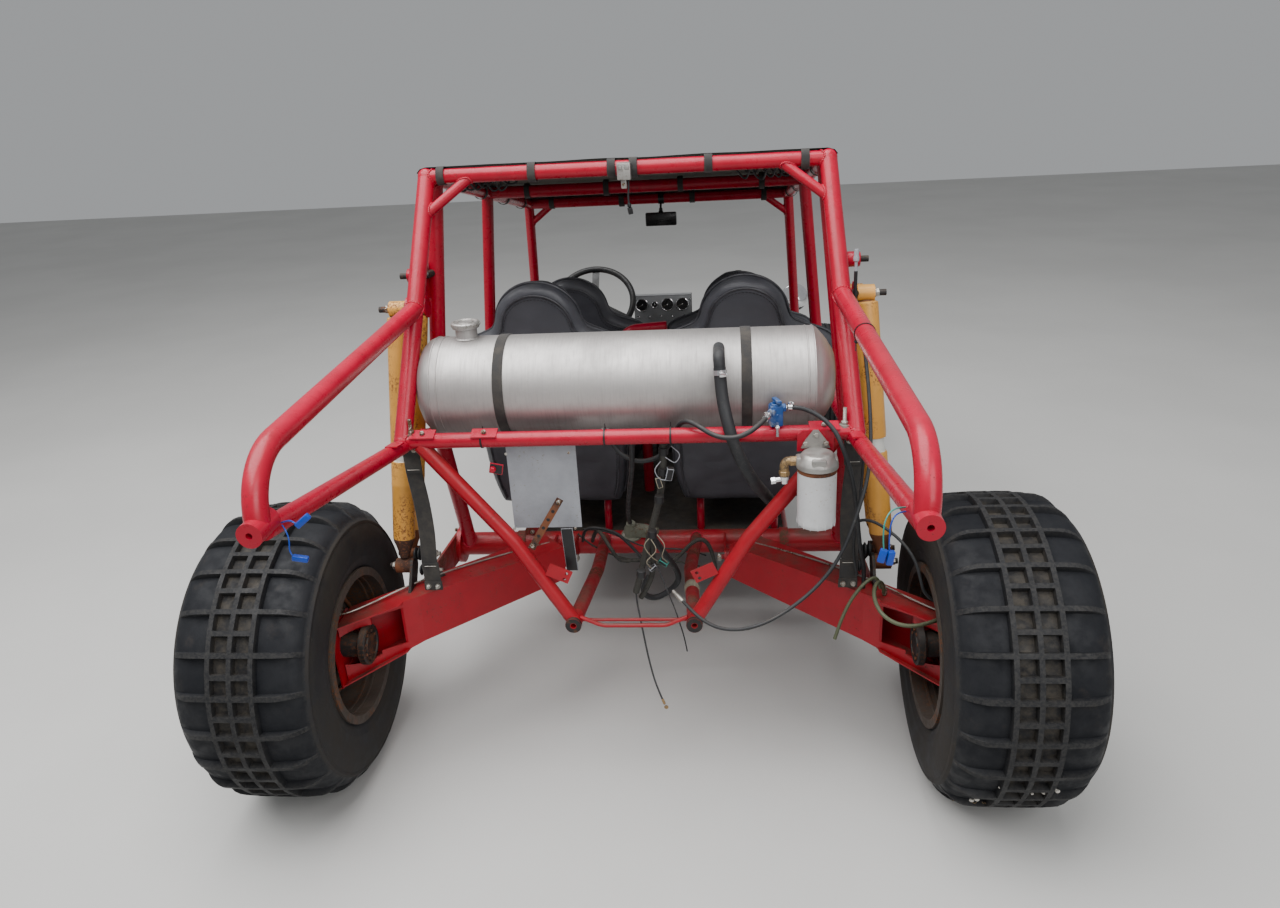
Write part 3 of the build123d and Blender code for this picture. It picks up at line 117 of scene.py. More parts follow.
def shoulder(side=1):
    return part_way(corner("roof_rear", side), corner("rear_low", side), 0.51)


def hoop_top(side=1):
    return part_way(corner("roof_rear", side), corner("roof_front", side), 0.05)


def roof_middle(side=1):
    return part_way(corner("roof_rear", side), corner("roof_front", side), middle_bar)


def waist_middle(side=1):
    return part_way(corner("hoop_waist", side), corner("waist_front", side), 0.42)


def side_middle(side=1):
    return part_way(corner("rear_low", side), corner("hoop_waist", side), 0.48)


# Mesh building


def turns(count, start=0.0):
    return [start + 2 * pi * number / count for number in range(count)]


def smooth_line(points, steps):
    """Points along a smooth line through the given ones."""
    ends = [points[0] * 2 - points[1], *points, points[-1] * 2 - points[-2]]
    line = []
    for before, first, second, after in zip(ends, ends[1:], ends[2:], ends[3:]):
        for number in range(steps):
            t = number / steps
            line.append(
                0.5
                * (
                    2 * first
                    + (second - before) * t
                    + (2 * before - 5 * first + 4 * second - after) * t**2
                    + (3 * first - before - 3 * second + after) * t**3
                )
            )
    line.append(points[-1].copy())
    return line


def join_rings(bm, first, second, paint=0):
    """Faces between two rings of vertices; a ring of one vertex is a point."""
    count = max(len(first), len(second))
    for number in range(count):
        following = (number + 1) % count
        if len(first) == 1:
            face = (first[0], second[following], second[number])
        elif len(second) == 1:
            face = (first[number], first[following], second[0])
        else:
            face = (first[number], first[following], second[following], second[number])
        bm.faces.new(face).material_index = paint


def join_chain(bm, rings, paint=0, closed=False):
    """Faces from ring to ring; a chain that isn't closed ends in discs."""
    for first, second in zip(rings, rings[1:]):
        join_rings(bm, first, second, paint)
    if closed:
        join_rings(bm, rings[-1], rings[0], paint)
    else:
        for ring in (rings[0], rings[-1]):
            bm.faces.new(ring).material_index = paint


def line_ways(line, closed):
    """The way in which a line runs at each of its points."""
    count = len(line)
    for number in range(count):
        if closed:
            ahead = line[(number + 1) % count] - line[number - 1]
        else:
            ahead = line[min(number + 1, count - 1)] - line[max(number - 1, 0)]
        yield ahead.normalized()


def add_lathe(bm, origin, axis, profile, sides=32, paint=0, paints=None, hollow=False):
    """A form turned about an axis, from (distance along it, radius) pairs.

    Its ends are closed by discs; a hollow one is a ring, whose last pair joins its first.
    """
    axis = Vector(axis).normalized()
    across = axis.orthogonal().normalized()
    other = axis.cross(across)
    rings = []
    for along, radius in profile:
        centre = origin + axis * along
        if radius < 1e-6:
            rings.append([bm.verts.new(centre)])
        else:
            rings.append(
                [bm.verts.new(centre + (across * cos(a) + other * sin(a)) * radius) for a in turns(sides)]
            )
    for number, (first, second) in enumerate(zip(rings, rings[1:])):
        join_rings(bm, first, second, paints[number] if paints else paint)
    if hollow:
        join_rings(bm, rings[-1], rings[0], paint)
        return
    for ring in (rings[0], rings[-1]):
        if len(ring) > 1:
            bm.faces.new(ring).material_index = paints[0] if paints else paint


def ridge(middle, half, radius, top_half, top):
    """Profile of a ridge round a turned form."""
    return ((middle - half, radius), (middle - top_half, top), (middle + top_half, top), (middle + half, radius))


def add_band(bm, start, axis, inner, outer, width, sides, paint=0):
    """A flat hollow ring."""
    wall = ((0, inner), (0, outer), (width, outer), (width, inner))
    add_lathe(bm, start, axis, wall, sides, paint, hollow=True)


def add_rod(bm, start, end, radius, sides=20, paint=0):
    """A round bar with broken edges."""
    length = (end - start).length
    lip = min(radius * 0.12, length / 4)
    profile = ((0, radius - lip), (lip, radius), (length - lip, radius), (length, radius - lip))
    add_lathe(bm, start, end - start, profile, sides, paint)


def add_pipe(bm, points, radius, sides=10, steps=5, paint=0, closed=False):
    """A round bar along a smooth line; radius may be a function of the share of its length."""
    line = smooth_line(points, steps) if steps else [point.copy() for point in points]
    side = (line[1] - line[0]).orthogonal().normalized()
    rings = []
    for number, (point, ahead) in enumerate(zip(line, line_ways(line, closed))):
        side = (side - ahead * side.dot(ahead)).normalized()
        other = ahead.cross(side)
        size = radius(number / (len(line) - 1)) if callable(radius) else radius
        rings.append([bm.verts.new(point + (side * cos(a) + other * sin(a)) * size) for a in turns(sides)])
    join_chain(bm, rings, paint, closed)


def add_strap(bm, points, across, width, thickness, steps=5, closed=False):
    """A flat strap along a line, its width lying along one direction."""
    line = smooth_line(points, steps) if steps else [point.copy() for point in points]
    across = Vector(across).normalized()
    rings = []
    for point, ahead in zip(line, line_ways(line, closed)):
        out = ahead.cross(across).normalized()
        half, thick, lip = across * width / 2, out * thickness / 2, across * thickness / 3
        right = (half + thick - lip, half, half - thick - lip)
        left = (-half - thick + lip, -half, -half + thick + lip)
        rings.append([bm.verts.new(point + offset) for offset in right + left])
    join_chain(bm, rings, 0, closed)


def add_block(bm, centre, size, turn=(0, 0, 0), edge=0.0015, paint=0):
    """A box with rounded edges, turned by angles in degrees."""
    turned = Euler([radians(angle) for angle in turn]).to_matrix().to_4x4()
    place = Matrix.Translation(centre) @ turned @ Matrix.Diagonal((*size, 1))
    made = bmesh.ops.create_cube(bm, size=1, matrix=place)["verts"]
    edges = list({line for vert in made for line in vert.link_edges})
    rounded = bmesh.ops.bevel(
        bm, geom=edges, offset=min(edge, min(size) * 0.3), segments=2, profile=0.5, affect="EDGES"
    )
    faces = {face for vert in made if vert.is_valid for face in vert.link_faces} | set(rounded["faces"])
    for face in faces:
        face.material_index = paint


def add_plate(bm, outline, push, paint=0):
    """A flat plate: an outline of points, pushed out by a vector."""
    low = [bm.verts.new(point) for point in outline]
    high = [bm.verts.new(point + push) for point in outline]
    join_rings(bm, low, high, paint)
    for ring in (low, high):
        bm.faces.new(ring).material_index = paint


def add_ball(bm, centre, radius, stretch=(1, 1, 1), sides=16, paint=0):
    place = Matrix.Translation(centre) @ Matrix.Diagonal((*stretch, 1))
    made = bmesh.ops.create_uvsphere(bm, u_segments=sides, v_segments=sides // 2, radius=radius, matrix=place)
    for face in {face for vert in made["verts"] for face in vert.link_faces}:
        face.material_index = paint


def add_bolt(bm, foot, out, size, height=None, stub=0.0, paint=0):
    """A hexagon with its washer, standing on a point; stub is the thread left above it."""
    out = Vector(out).normalized()
    height = height or size * 0.6
    add_lathe(bm, foot, out, ((0, size * 1.05), (size * 0.15, size * 1.05)), 20, paint)
    hexagon = ((0, size * 0.6), (0.001, size), (height * 0.8, size), (height, size * 0.82))
    add_lathe(bm, foot + out * size * 0.15, out, hexagon, 6, paint)
    if stub:
        thread = []
        rise = height
        while rise < height + stub:
            thread += [(rise, size * 0.5), (rise + 0.0006, size * 0.56)]
            rise += 0.0013
        add_lathe(bm, foot, out, thread, 12, paint)


def add_bolt_circle(bm, centre, side, radius, count, start, size, height, stub=0.0, paint=1):
    """Bolts in a circle round a line across, with their heads towards one side."""
    for turn in turns(count, start):
        place = centre + Vector((0, cos(turn), sin(turn))) * radius
        add_bolt(bm, place, (side, 0, 0), size, height, stub, paint)


def add_weld(bm, foot, away, radius, host_start, host_end, host_radius):
    """The bead where a tube, from its foot on the host's axis, breaks through the host's surface."""
    away = (away - foot).normalized()
    along = (host_end - host_start).normalized()
    across = away.orthogonal().normalized()
    other = away.cross(across)
    line = []
    count = 96
    for angle in turns(count):
        start = foot + (across * cos(angle) + other * sin(angle)) * (radius + 0.0004)
        offset = start - host_start
        offset -= along * offset.dot(along)
        slant = away - along * away.dot(along)
        a, b, c = slant.length_squared, offset.dot(slant), offset.length_squared - host_radius**2
        reach = (-b + sqrt(max(b * b - a * c, 0))) / max(a, 1e-6)
        line.append(start + away * min(reach, 4 * host_radius))
    add_pipe(bm, line, lambda share: weld_bead * (1 + 0.22 * sin(share * count * pi / 2)), 6, 0, 0, True)


def add_tie(bm, centre, axis, radius, width=0.0045, tail=0.02):
    """A cable tie drawn round a bar, with its lock and cut tail."""
    axis = Vector(axis).normalized()
    add_band(bm, centre - axis * width / 2, axis, radius, radius + 0.0016, width, 28)
    out = axis.orthogonal().normalized()
    lock = centre + out * (radius + 0.003)
    add_block(bm, lock, (0.006, 0.007, 0.006), (20, 10, 30), 0.0008)
    add_rod(bm, lock, lock + out.lerp(axis.cross(out), 0.5) * tail, 0.0012, 6)


def piece(name, bm, paints, body="chassis", replaces=(), sharp=38.0):
    """Makes an object of the gathered mesh and hangs it on a body of the frame; paints are finishes' names."""
    bmesh.ops.recalc_face_normals(bm, faces=bm.faces)
    mesh = bpy.data.meshes.new(name)
    bm.to_mesh(mesh)
    bm.free()
    mesh.polygons.foreach_set("use_smooth", [True] * len(mesh.polygons))
    mesh.set_sharp_from_angle(angle=radians(sharp))
    made = bpy.data.objects.new(name, mesh)
    bpy.context.scene.collection.objects.link(made)
    for paint in paints:
        mesh.materials.append(finishes[paint])
    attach(made, body)
    if replaces:
        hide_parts(*replaces)
    return made


# Finishes


class Finish:
    """A procedural material, built up in steps on one shader."""

    def __init__(self, name, values):
        self.material = bpy.data.materials.new(name)
        self.material.use_nodes = True
        self.tree = self.material.node_tree
        self.tree.nodes.clear()
        self.shader = self.tree.nodes.new("ShaderNodeBsdfPrincipled")
        output = self.tree.nodes.new("ShaderNodeOutputMaterial")
        self.tree.links.new(self.shader.outputs[0], output.inputs["Surface"])
        for socket, value in values.items():
            self.shader.inputs[socket].default_value = value
        self.place = self.step("TexCoord", {}, 3)

    def step(self, kind, inputs, result=0, **settings):
        """Adds a node, fills its inputs with values or other nodes' results, and gives its result."""
        made = self.tree.nodes.new("ShaderNode" + kind)
        for setting, value in settings.items():
            setattr(made, setting, value)
        for socket, value in inputs.items():
            if isinstance(value, bpy.types.NodeSocket):
                self.tree.links.new(value, made.inputs[socket])
            else:
                made.inputs[socket].default_value = value
        return made.outputs[result]

    def grain(self, scale, detail=4.0, rough=0.55, stretch=(1, 1, 1)):
        place = self.place
        if stretch != (1, 1, 1):
            place = self.step("Mapping", {"Vector": place, "Scale": stretch})
        return self.step(
            "TexNoise", {"Vector": place, "Scale": scale, "Detail": detail, "Roughness": rough}
        )

    def cells(self, scale):
        return self.step("TexVoronoi", {"Vector": self.place, "Scale": scale}, feature="F1")

    def ease(self, value, low, high, first=0.0, last=1.0):
        """Runs smoothly from first to last as value goes from low to high."""
        inputs = {"Value": value, "From Min": low, "From Max": high, "To Min": first, "To Max": last}
        return self.step("MapRange", inputs, interpolation_type="SMOOTHSTEP")

    def sums(self, operation, first, second):
        return self.step("Math", {0: first, 1: second}, operation=operation)

    def mix(self, share, first, second):
        return self.step("Mix", {0: share, 6: first, 7: second}, 2, data_type="RGBA")

    def upward(self):
        normal = self.step("NewGeometry", {}, 1)
        return self.step("SeparateXYZ", {"Vector": normal}, 2)

    def finish(self, colour, roughness, height=None, depth=0.0005, strength=0.4):
        links = self.tree.links
        links.new(colour, self.shader.inputs["Base Color"])
        links.new(roughness, self.shader.inputs["Roughness"])
        if height is not None:
            bump = self.step("Bump", {"Height": height, "Distance": depth, "Strength": strength})
            links.new(bump, self.shader.inputs["Normal"])
        return self.material


dirt_colour = (0.085, 0.066, 0.048, 1)
rust_colour = (0.115, 0.042, 0.018, 1)


def worn_finish(name, base, top, fade_and_highlight_amount, chips, under, dust, rough, metal, coat):
    """Paint or metal that fades on faces that look up, where its lighter top colour is also a painted highlight, chips,
    and gathers dirt.
    """
    finish = Finish(name, {"Metallic": metal, "Specular IOR Level": 0.32, "Coat Weight": coat, "Coat Roughness": 0.3})
    clouds = finish.grain(4.0, 5)
    up = finish.upward()
    # Faces that look up take the top colour: partly fade, partly a painted highlight of the light from above.
    fade_and_highlight_mask = finish.sums("MULTIPLY", finish.ease(up, -0.1, 0.95), finish.ease(clouds, 0.2, 0.7, 0.45 * fade_and_highlight_amount, fade_and_highlight_amount))
    colour = finish.mix(fade_and_highlight_mask, (*base, 1), (*top, 1))
    shade = finish.grain(17.0, 6, 0.65)
    colour = finish.mix(finish.ease(shade, 0.35, 0.75, 0, 0.35), colour, (*[part * 0.55 for part in base], 1))
    speck = finish.grain(150.0, 8, 0.75)
    patch = finish.grain(11.0, 4)
    chip = finish.sums(
        "MULTIPLY", finish.ease(speck, 0.66 - chips * 0.16, 0.69 - chips * 0.16), finish.ease(patch, 0.46, 0.6),
    )
    colour = finish.mix(chip, colour, (*under, 1))
    settled = finish.sums(
        "MULTIPLY", finish.ease(up, 0.35, 0.97, 0.06, 1), finish.ease(finish.grain(7.0, 7, 0.7), 0.4, 0.72, 0, dust),
    )
    colour = finish.mix(settled, colour, dirt_colour)
    gloss = finish.ease(finish.grain(45.0, 5), 0.3, 0.7, rough * 0.82, min(1, rough * 1.25))
    gloss = finish.sums("MAXIMUM", gloss, finish.sums("MULTIPLY", finish.sums("MAXIMUM", settled, chip), 0.85))
    height = finish.sums("SUBTRACT", finish.ease(finish.grain(90.0, 4), 0.2, 0.8, 0, 0.25), chip)
    return finish.finish(colour, gloss, height, 0.0006, 0.35)


# Plain weathered finishes: name, colour, colour where it has faded and light from above is painted on,
# share of fade and painted highlight, chips, colour under the chips, dirt, roughness, metal, clear coat
finish_table = (
    ("red_paint", (0.34, 0.0012, 0.017), (0.5, 0.005, 0.042), 0.7, 0.35, (0.1, 0.02, 0.015), 0.16, 0.3, 0.0, 0.12),
    ("red_dusty", (0.31, 0.0012, 0.01), (0.3, 0.018, 0.024), 0.5, 0.5, (0.09, 0.025, 0.018), 0.85, 0.38, 0.0, 0.08),
    ("red_worn", (0.24, 0.005, 0.012), (0.26, 0.028, 0.03), 0.5, 1.2, (0.1, 0.045, 0.025), 0.75, 0.55, 0.0, 0.0),
    ("floor_steel", (0.035, 0.033, 0.031), (0.05, 0.046, 0.041), 0.6, 0.6, (0.06, 0.05, 0.04), 0.8, 0.75, 0.1, 0.0),
    ("black_steel", (0.022, 0.021, 0.021), (0.05, 0.045, 0.04), 0.6, 0.9, rust_colour[:3], 0.7, 0.55, 0.3, 0.0),
    ("yellow_shock", (0.58, 0.27, 0.045), (0.62, 0.36, 0.11), 0.6, 0.9, (0.2, 0.075, 0.02), 0.25, 0.4, 0.0, 0.15),
    ("shock_rod", (0.62, 0.62, 0.58), (0.7, 0.69, 0.64), 0.5, 0.6, (0.3, 0.22, 0.12), 0.25, 0.38, 0.1, 0.0),
    ("rust_iron", (0.15, 0.052, 0.022), (0.17, 0.075, 0.04), 0.6, 1.4, (0.05, 0.025, 0.018), 0.5, 0.85, 0.0, 0.0),
    ("rim_rust", (0.06, 0.047, 0.039), (0.095, 0.08, 0.066), 0.6, 1.0, (0.13, 0.05, 0.02), 0.75, 0.75, 0.2, 0.0),
    ("bare_alloy", (0.36, 0.35, 0.33), (0.46, 0.45, 0.43), 0.5, 0.6, (0.19, 0.17, 0.145), 0.4, 0.44, 0.75, 0.0),
    ("plate_grey", (0.29, 0.3, 0.325), (0.36, 0.37, 0.39), 0.4, 0.5, (0.24, 0.23, 0.21), 0.35, 0.5, 0.2, 0.0),
    ("zinc_bolt", (0.42, 0.4, 0.36), (0.48, 0.46, 0.42), 0.4, 1.2, (0.16, 0.09, 0.05), 0.45, 0.45, 0.8, 0.0),
    ("brass", (0.34, 0.22, 0.1), (0.36, 0.26, 0.15), 0.4, 1.0, (0.12, 0.09, 0.06), 0.5, 0.45, 0.7, 0.0),
    ("chrome", (0.74, 0.74, 0.75), (0.76, 0.76, 0.76), 0.3, 0.2, (0.3, 0.24, 0.18), 0.12, 0.16, 0.95, 0.0),
    ("filter_white", (0.52, 0.525, 0.53), (0.62, 0.62, 0.61), 0.5, 0.35, (0.3, 0.2, 0.1), 0.2, 0.35, 0.0, 0.2),
    ("blue_valve", (0.006, 0.055, 0.22), (0.03, 0.12, 0.3), 0.5, 1.2, (0.25, 0.27, 0.3), 0.35, 0.4, 0.1, 0.1),
    ("black_plastic", (0.012, 0.012, 0.013), (0.03, 0.03, 0.03), 0.5, 0.2, (0.05, 0.05, 0.05), 0.35, 0.45, 0.0, 0.0),
    ("dash_grey", (0.27, 0.275, 0.28), (0.33, 0.33, 0.33), 0.4, 0.5, (0.3, 0.29, 0.27), 0.3, 0.42, 0.3, 0.0),
    ("gauge_black", (0.01, 0.01, 0.011), (0.02, 0.02, 0.02), 0.4, 0.1, (0.05, 0.05, 0.05), 0.15, 0.3, 0.0, 0.4),
    ("wheel_black", (0.014, 0.014, 0.015), (0.03, 0.03, 0.03), 0.5, 0.5, (0.07, 0.07, 0.07), 0.25, 0.42, 0.0, 0.1),
    ("hose_rubber", (0.016, 0.017, 0.019), (0.05, 0.052, 0.055), 0.8, 0.5, (0.06, 0.058, 0.052), 0.5, 0.55, 0.0, 0.0),
    ("olive_hose", (0.075, 0.085, 0.045), (0.13, 0.14, 0.09), 0.6, 0.7, (0.05, 0.045, 0.03), 0.45, 0.5, 0.0, 0.0),
    ("loom_olive", (0.036, 0.035, 0.03), (0.085, 0.08, 0.066), 0.7, 1.0, (0.022, 0.021, 0.02), 0.6, 0.7, 0.0, 0.0),
    ("cast_olive", (0.12, 0.125, 0.095), (0.2, 0.2, 0.16), 0.7, 0.9, (0.1, 0.06, 0.035), 0.7, 0.75, 0.1, 0.0),
    ("wire_blue", (0.004, 0.045, 0.33), (0.01, 0.07, 0.38), 0.4, 0.1, (0.1, 0.1, 0.2), 0.1, 0.35, 0.0, 0.1),
    ("wire_teal", (0.02, 0.22, 0.18), (0.1, 0.4, 0.34), 0.4, 0.1, (0.1, 0.2, 0.2), 0.2, 0.4, 0.0, 0.1),
    ("wire_pale", (0.25, 0.22, 0.16), (0.32, 0.29, 0.23), 0.4, 0.4, (0.2, 0.15, 0.1), 0.3, 0.5, 0.0, 0.0),
    ("pebble", (0.55, 0.52, 0.47), (0.6, 0.58, 0.53), 0.4, 0.4, (0.3, 0.28, 0.25), 0.2, 0.8, 0.0, 0.0),
    ("dry_grass", (0.22, 0.15, 0.08), (0.3, 0.22, 0.13), 0.4, 0.4, (0.12, 0.08, 0.05), 0.2, 0.9, 0.0, 0.0),
)


def tyre_rubber():
    finish = Finish("tyre_rubber", {"Specular IOR Level": 0.22})
    wear_and_highlight_mask = finish.step("Attribute", {}, 2, attribute_name="rib_wear_and_lip_highlight")
    clouds = finish.grain(9.0, 6, 0.65)
    fine = finish.grain(140.0, 6, 0.7)
    colour = finish.mix(finish.ease(clouds, 0.3, 0.7), (0.006, 0.0067, 0.009, 1), (0.012, 0.0127, 0.015, 1))
    # Worn rib tops, and the shoulder's lip as a painted highlight, take a paler rubber colour.
    frayed_and_highlit = finish.sums("MULTIPLY", wear_and_highlight_mask, finish.ease(fine, 0.38, 0.62, 0.2, 1))
    colour = finish.mix(frayed_and_highlit, colour, (0.027, 0.0262, 0.0255, 1))
    pocket = finish.step("Attribute", {}, 2, attribute_name="pocket")
    dust = finish.sums("MULTIPLY", pocket, finish.ease(finish.grain(35.0, 8, 0.7), 0.35, 0.68, 0.1, 0.95))
    colour = finish.mix(dust, colour, (0.05, 0.043, 0.034, 1))
    mud = finish.ease(finish.grain(14.0, 8, 0.7), 0.56, 0.76, 0, 0.4)
    colour = finish.mix(mud, colour, (0.04, 0.032, 0.026, 1))
    rough = finish.ease(finish.grain(30.0, 5), 0.3, 0.7, 0.5, 0.82)
    height = finish.sums(
        "ADD", finish.sums("MULTIPLY", fine, finish.ease(wear_and_highlight_mask, 0, 1, 0.15, 1)), finish.grain(55.0, 6, 0.7),
    )
    return finish.finish(colour, rough, height, 0.0016, 0.35)


def sidewall_rubber():
    finish = Finish("sidewall_rubber", {"Specular IOR Level": 0.3})
    clouds = finish.grain(6.0, 7, 0.7)
    colour = finish.mix(finish.ease(clouds, 0.3, 0.68), (0.0095, 0.01, 0.0125, 1), (0.026, 0.022, 0.018, 1))
    streaks = finish.ease(finish.grain(60.0, 6, 0.75), 0.55, 0.75, 0, 0.4)
    colour = finish.mix(streaks, colour, (0.052, 0.043, 0.032, 1))
    rough = finish.ease(clouds, 0.3, 0.7, 0.6, 0.9)
    return finish.finish(colour, rough, finish.grain(70.0, 6, 0.7), 0.001, 0.3)


def seat_vinyl():
    finish = Finish("seat_vinyl", {"Specular IOR Level": 0.45, "Coat Weight": 0.08, "Coat Roughness": 0.4})
    clouds = finish.grain(5.0, 6, 0.6)
    colour = finish.mix(finish.ease(clouds, 0.25, 0.75), (0.04, 0.041, 0.05, 1), (0.066, 0.067, 0.078, 1))
    up = finish.ease(finish.upward(), 0.2, 1.0, 0, 0.5)
    colour = finish.mix(
        finish.sums("MULTIPLY", up, finish.ease(finish.grain(12.0, 7, 0.7), 0.35, 0.7)), colour,
        (0.09, 0.088, 0.086, 1),
    )
    pores = finish.cells(900.0)
    creases = finish.ease(finish.grain(7.0, 3, 0.5, (0.6, 1, 2.2)), 0.42, 0.58)
    height = finish.sums("ADD", finish.sums("MULTIPLY", pores, 0.12), finish.sums("MULTIPLY", creases, 0.9))
    rough = finish.ease(clouds, 0.3, 0.7, 0.4, 0.58)
    return finish.finish(colour, rough, height, 0.0018, 0.35)


def vinyl_piping():
    finish = Finish("vinyl_piping", {"Specular IOR Level": 0.5})
    colour = finish.mix(finish.ease(finish.grain(40.0), 0.3, 0.7), (0.022, 0.022, 0.027, 1), (0.044, 0.044, 0.052, 1))
    return finish.finish(colour, finish.ease(finish.grain(60.0), 0.3, 0.7, 0.35, 0.5), finish.cells(700.0), 0.0005, 0.3)


def roof_canvas():
    """Black outside, grey tan inside, with a plain weave."""
    finish = Finish("roof_canvas", {"Sheen Weight": 0.03, "Sheen Roughness": 0.6, "Specular IOR Level": 0.3})
    wear = finish.grain(5.0, 7, 0.65)
    outside = finish.mix(finish.ease(wear, 0.35, 0.7), (0.009, 0.009, 0.009, 1), (0.028, 0.027, 0.026, 1))
    inside = finish.mix(finish.ease(wear, 0.3, 0.7), (0.05, 0.052, 0.04, 1), (0.095, 0.095, 0.076, 1))
    back = finish.step("NewGeometry", {}, 6)
    colour = finish.mix(back, outside, inside)
    warp = finish.step("TexWave", {"Vector": finish.place, "Scale": 320.0}, 1, bands_direction="X")
    weft = finish.step("TexWave", {"Vector": finish.place, "Scale": 320.0}, 1, bands_direction="Y")
    return finish.finish(colour, finish.ease(wear, 0.3, 0.7, 0.75, 0.95), finish.sums("ADD", warp, weft), 0.0006, 0.3)


def woven_strap():
    finish = Finish("woven_strap", {"Sheen Weight": 0.1, "Sheen Roughness": 0.5})
    wear = finish.grain(25.0, 6, 0.7)
    colour = finish.mix(finish.ease(wear, 0.35, 0.75), (0.013, 0.012, 0.012, 1), (0.055, 0.048, 0.04, 1))
    ribs = finish.step(
        "TexWave", {"Vector": finish.place, "Scale": 180.0, "Distortion": 0.4}, 1, bands_direction="DIAGONAL",
    )
    return finish.finish(colour, finish.ease(wear, 0.3, 0.7, 0.7, 0.95), ribs, 0.0008, 0.4)


def tank_aluminium(settings):
    """Brushed round the tank, with dull clouds and streaks, and painted shade on its underside."""
    finish = Finish("tank_aluminium", {"Metallic": 0.78, "Specular IOR Level": 0.4})
    brushed = finish.grain(260.0, 4, 0.6, (1, 0.06, 0.06))
    clouds = finish.grain(3.2, 6, 0.65)
    tone = (*settings.metal, 1)
    dull = (*[part * 0.62 for part in settings.metal], 1)
    colour = finish.mix(finish.ease(clouds, 0.3, 0.75), tone, dull)
    colour = finish.mix(finish.ease(brushed, 0.45, 0.7, 0, 0.3), colour, dull)
    spots = finish.sums(
        "MULTIPLY", finish.ease(finish.grain(90.0, 8, 0.8), 0.62, 0.67), finish.ease(finish.grain(8.0), 0.5, 0.62),
    )
    colour = finish.mix(spots, colour, (0.22, 0.2, 0.17, 1))
    # Painted shade: darker on faces that look down.
    underside_shade = finish.ease(finish.upward(), 0.05, -0.85, 0, 0.75)
    colour = finish.mix(underside_shade, colour, (0.17, 0.155, 0.155, 1))
    rough = finish.sums("ADD", finish.ease(clouds, 0.3, 0.7, 0.42, 0.56), finish.ease(brushed, 0.4, 0.7, 0, 0.1))
    return finish.finish(colour, rough, brushed, 0.0004, 0.25)


def lamp_glass():
    finish = Finish("lamp_glass", {"Transmission Weight": 0.5, "IOR": 1.45, "Coat Weight": 0.3})
    colour = finish.mix(finish.ease(finish.grain(30.0), 0.3, 0.7), (0.62, 0.65, 0.66, 1), (0.8, 0.82, 0.82, 1))
    ribs = finish.step("TexWave", {"Vector": finish.place, "Scale": 45.0}, 1, bands_direction="X")
    return finish.finish(colour, finish.ease(finish.grain(20.0), 0.3, 0.7, 0.08, 0.2), ribs, 0.001, 0.5)


def floor_concrete(settings):
    finish = Finish("floor_pale", {"Specular IOR Level": 0.2})
    colour = finish.mix(
        finish.ease(finish.grain(0.8, 6), 0.3, 0.7), (*settings.floor, 1),
        (*[part * 0.93 for part in settings.floor], 1),
    )
    return finish.finish(colour, finish.ease(finish.grain(3.0), 0.3, 0.7, 0.8, 0.9))


finishes = {}


def paint_nodes(name, *nodes):
    """Gives nodes of the frame one of the finishes."""
    for node in nodes:
        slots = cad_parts[node].material_slots
        if slots:
            for slot in slots:
                slot.material = finishes[name]
        else:
            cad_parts[node].data.materials.append(finishes[name])


# Sizes and colours that a user may change


def length_setting(name, description, default):
    return FloatProperty(name=name, description=description, subtype="DISTANCE", unit="LENGTH", default=default)


class CameraSettings(bpy.types.PropertyGroup):
    place: FloatVectorProperty(
        name="Place", description="Where the camera stands", subtype="TRANSLATION", unit="LENGTH",
        default=(0.2342, -3.02367, 1.73109),
    )
    heading: FloatProperty(
        name="Heading", description="Turn to the left of straight ahead", subtype="ANGLE", default=0.097066,
    )
    dip: FloatProperty(name="Dip", description="Turn down from level", subtype="ANGLE", default=0.382141)
    tilt: FloatProperty(name="Tilt", description="Turn about the line of sight", subtype="ANGLE", default=0.056127)
    lens: FloatProperty(
        name="Lens", description="Focal length on a 36 mm wide sensor", subtype="DISTANCE_CAMERA", default=25.3125,
    )


class StageSettings(bpy.types.PropertyGroup):
    floor: FloatVectorProperty(
        name="Floor", description="Colour of the floor", subtype="COLOR", default=(0.52, 0.515, 0.5),
    )
    reach: length_setting("Reach", "Half the floor's width", 14.0)
    overhead: FloatProperty(name="Overhead light", description="Strength of the soft light above", default=520.0)
    sky: FloatProperty(name="Sky", description="Strength of the light from all round", default=0.45)


class TyreSettings(bpy.types.PropertyGroup):
    pitches: IntProperty(name="Cross ribs", description="Cross ribs round a rear tyre", default=48, min=24)
    tread_depth: length_setting("Tread depth", "Height of the rear tread's ribs", 0.016)
    rib_half: length_setting("Half rib", "Half the width of a rib's top", 0.0058)
    flank: length_setting("Flank", "How far a rib's side slopes out", 0.0022)


class SeatSettings(bpy.types.PropertyGroup):
    voxel: length_setting("Mesh size", "Edge length of the pads' mesh", 0.01)
    crown: length_setting("Crown", "How far a pad swells in its middle", 0.012)
    piping: length_setting("Piping", "Radius of the piping along the seams", 0.0042)
    stitch: length_setting("Stitch", "Distance from stitch to stitch", 0.011)


class CanopySettings(bpy.types.PropertyGroup):
    sag: length_setting("Sag", "How far the cloth hangs between its bars", 0.012)
    rear_wrap: length_setting("Rear wrap", "Cloth rolled over the rear bar", 0.01)
    wrap: length_setting("Wrap", "Cloth rolled over the outer tubes", 0.03)


class TankSettings(bpy.types.PropertyGroup):
    metal: FloatVectorProperty(
        name="Metal", description="Colour of the tank", subtype="COLOR", default=(0.5, 0.48, 0.465),
    )
    sides: IntProperty(name="Sides", description="Faces round the tank", default=96, min=24)


# Operators


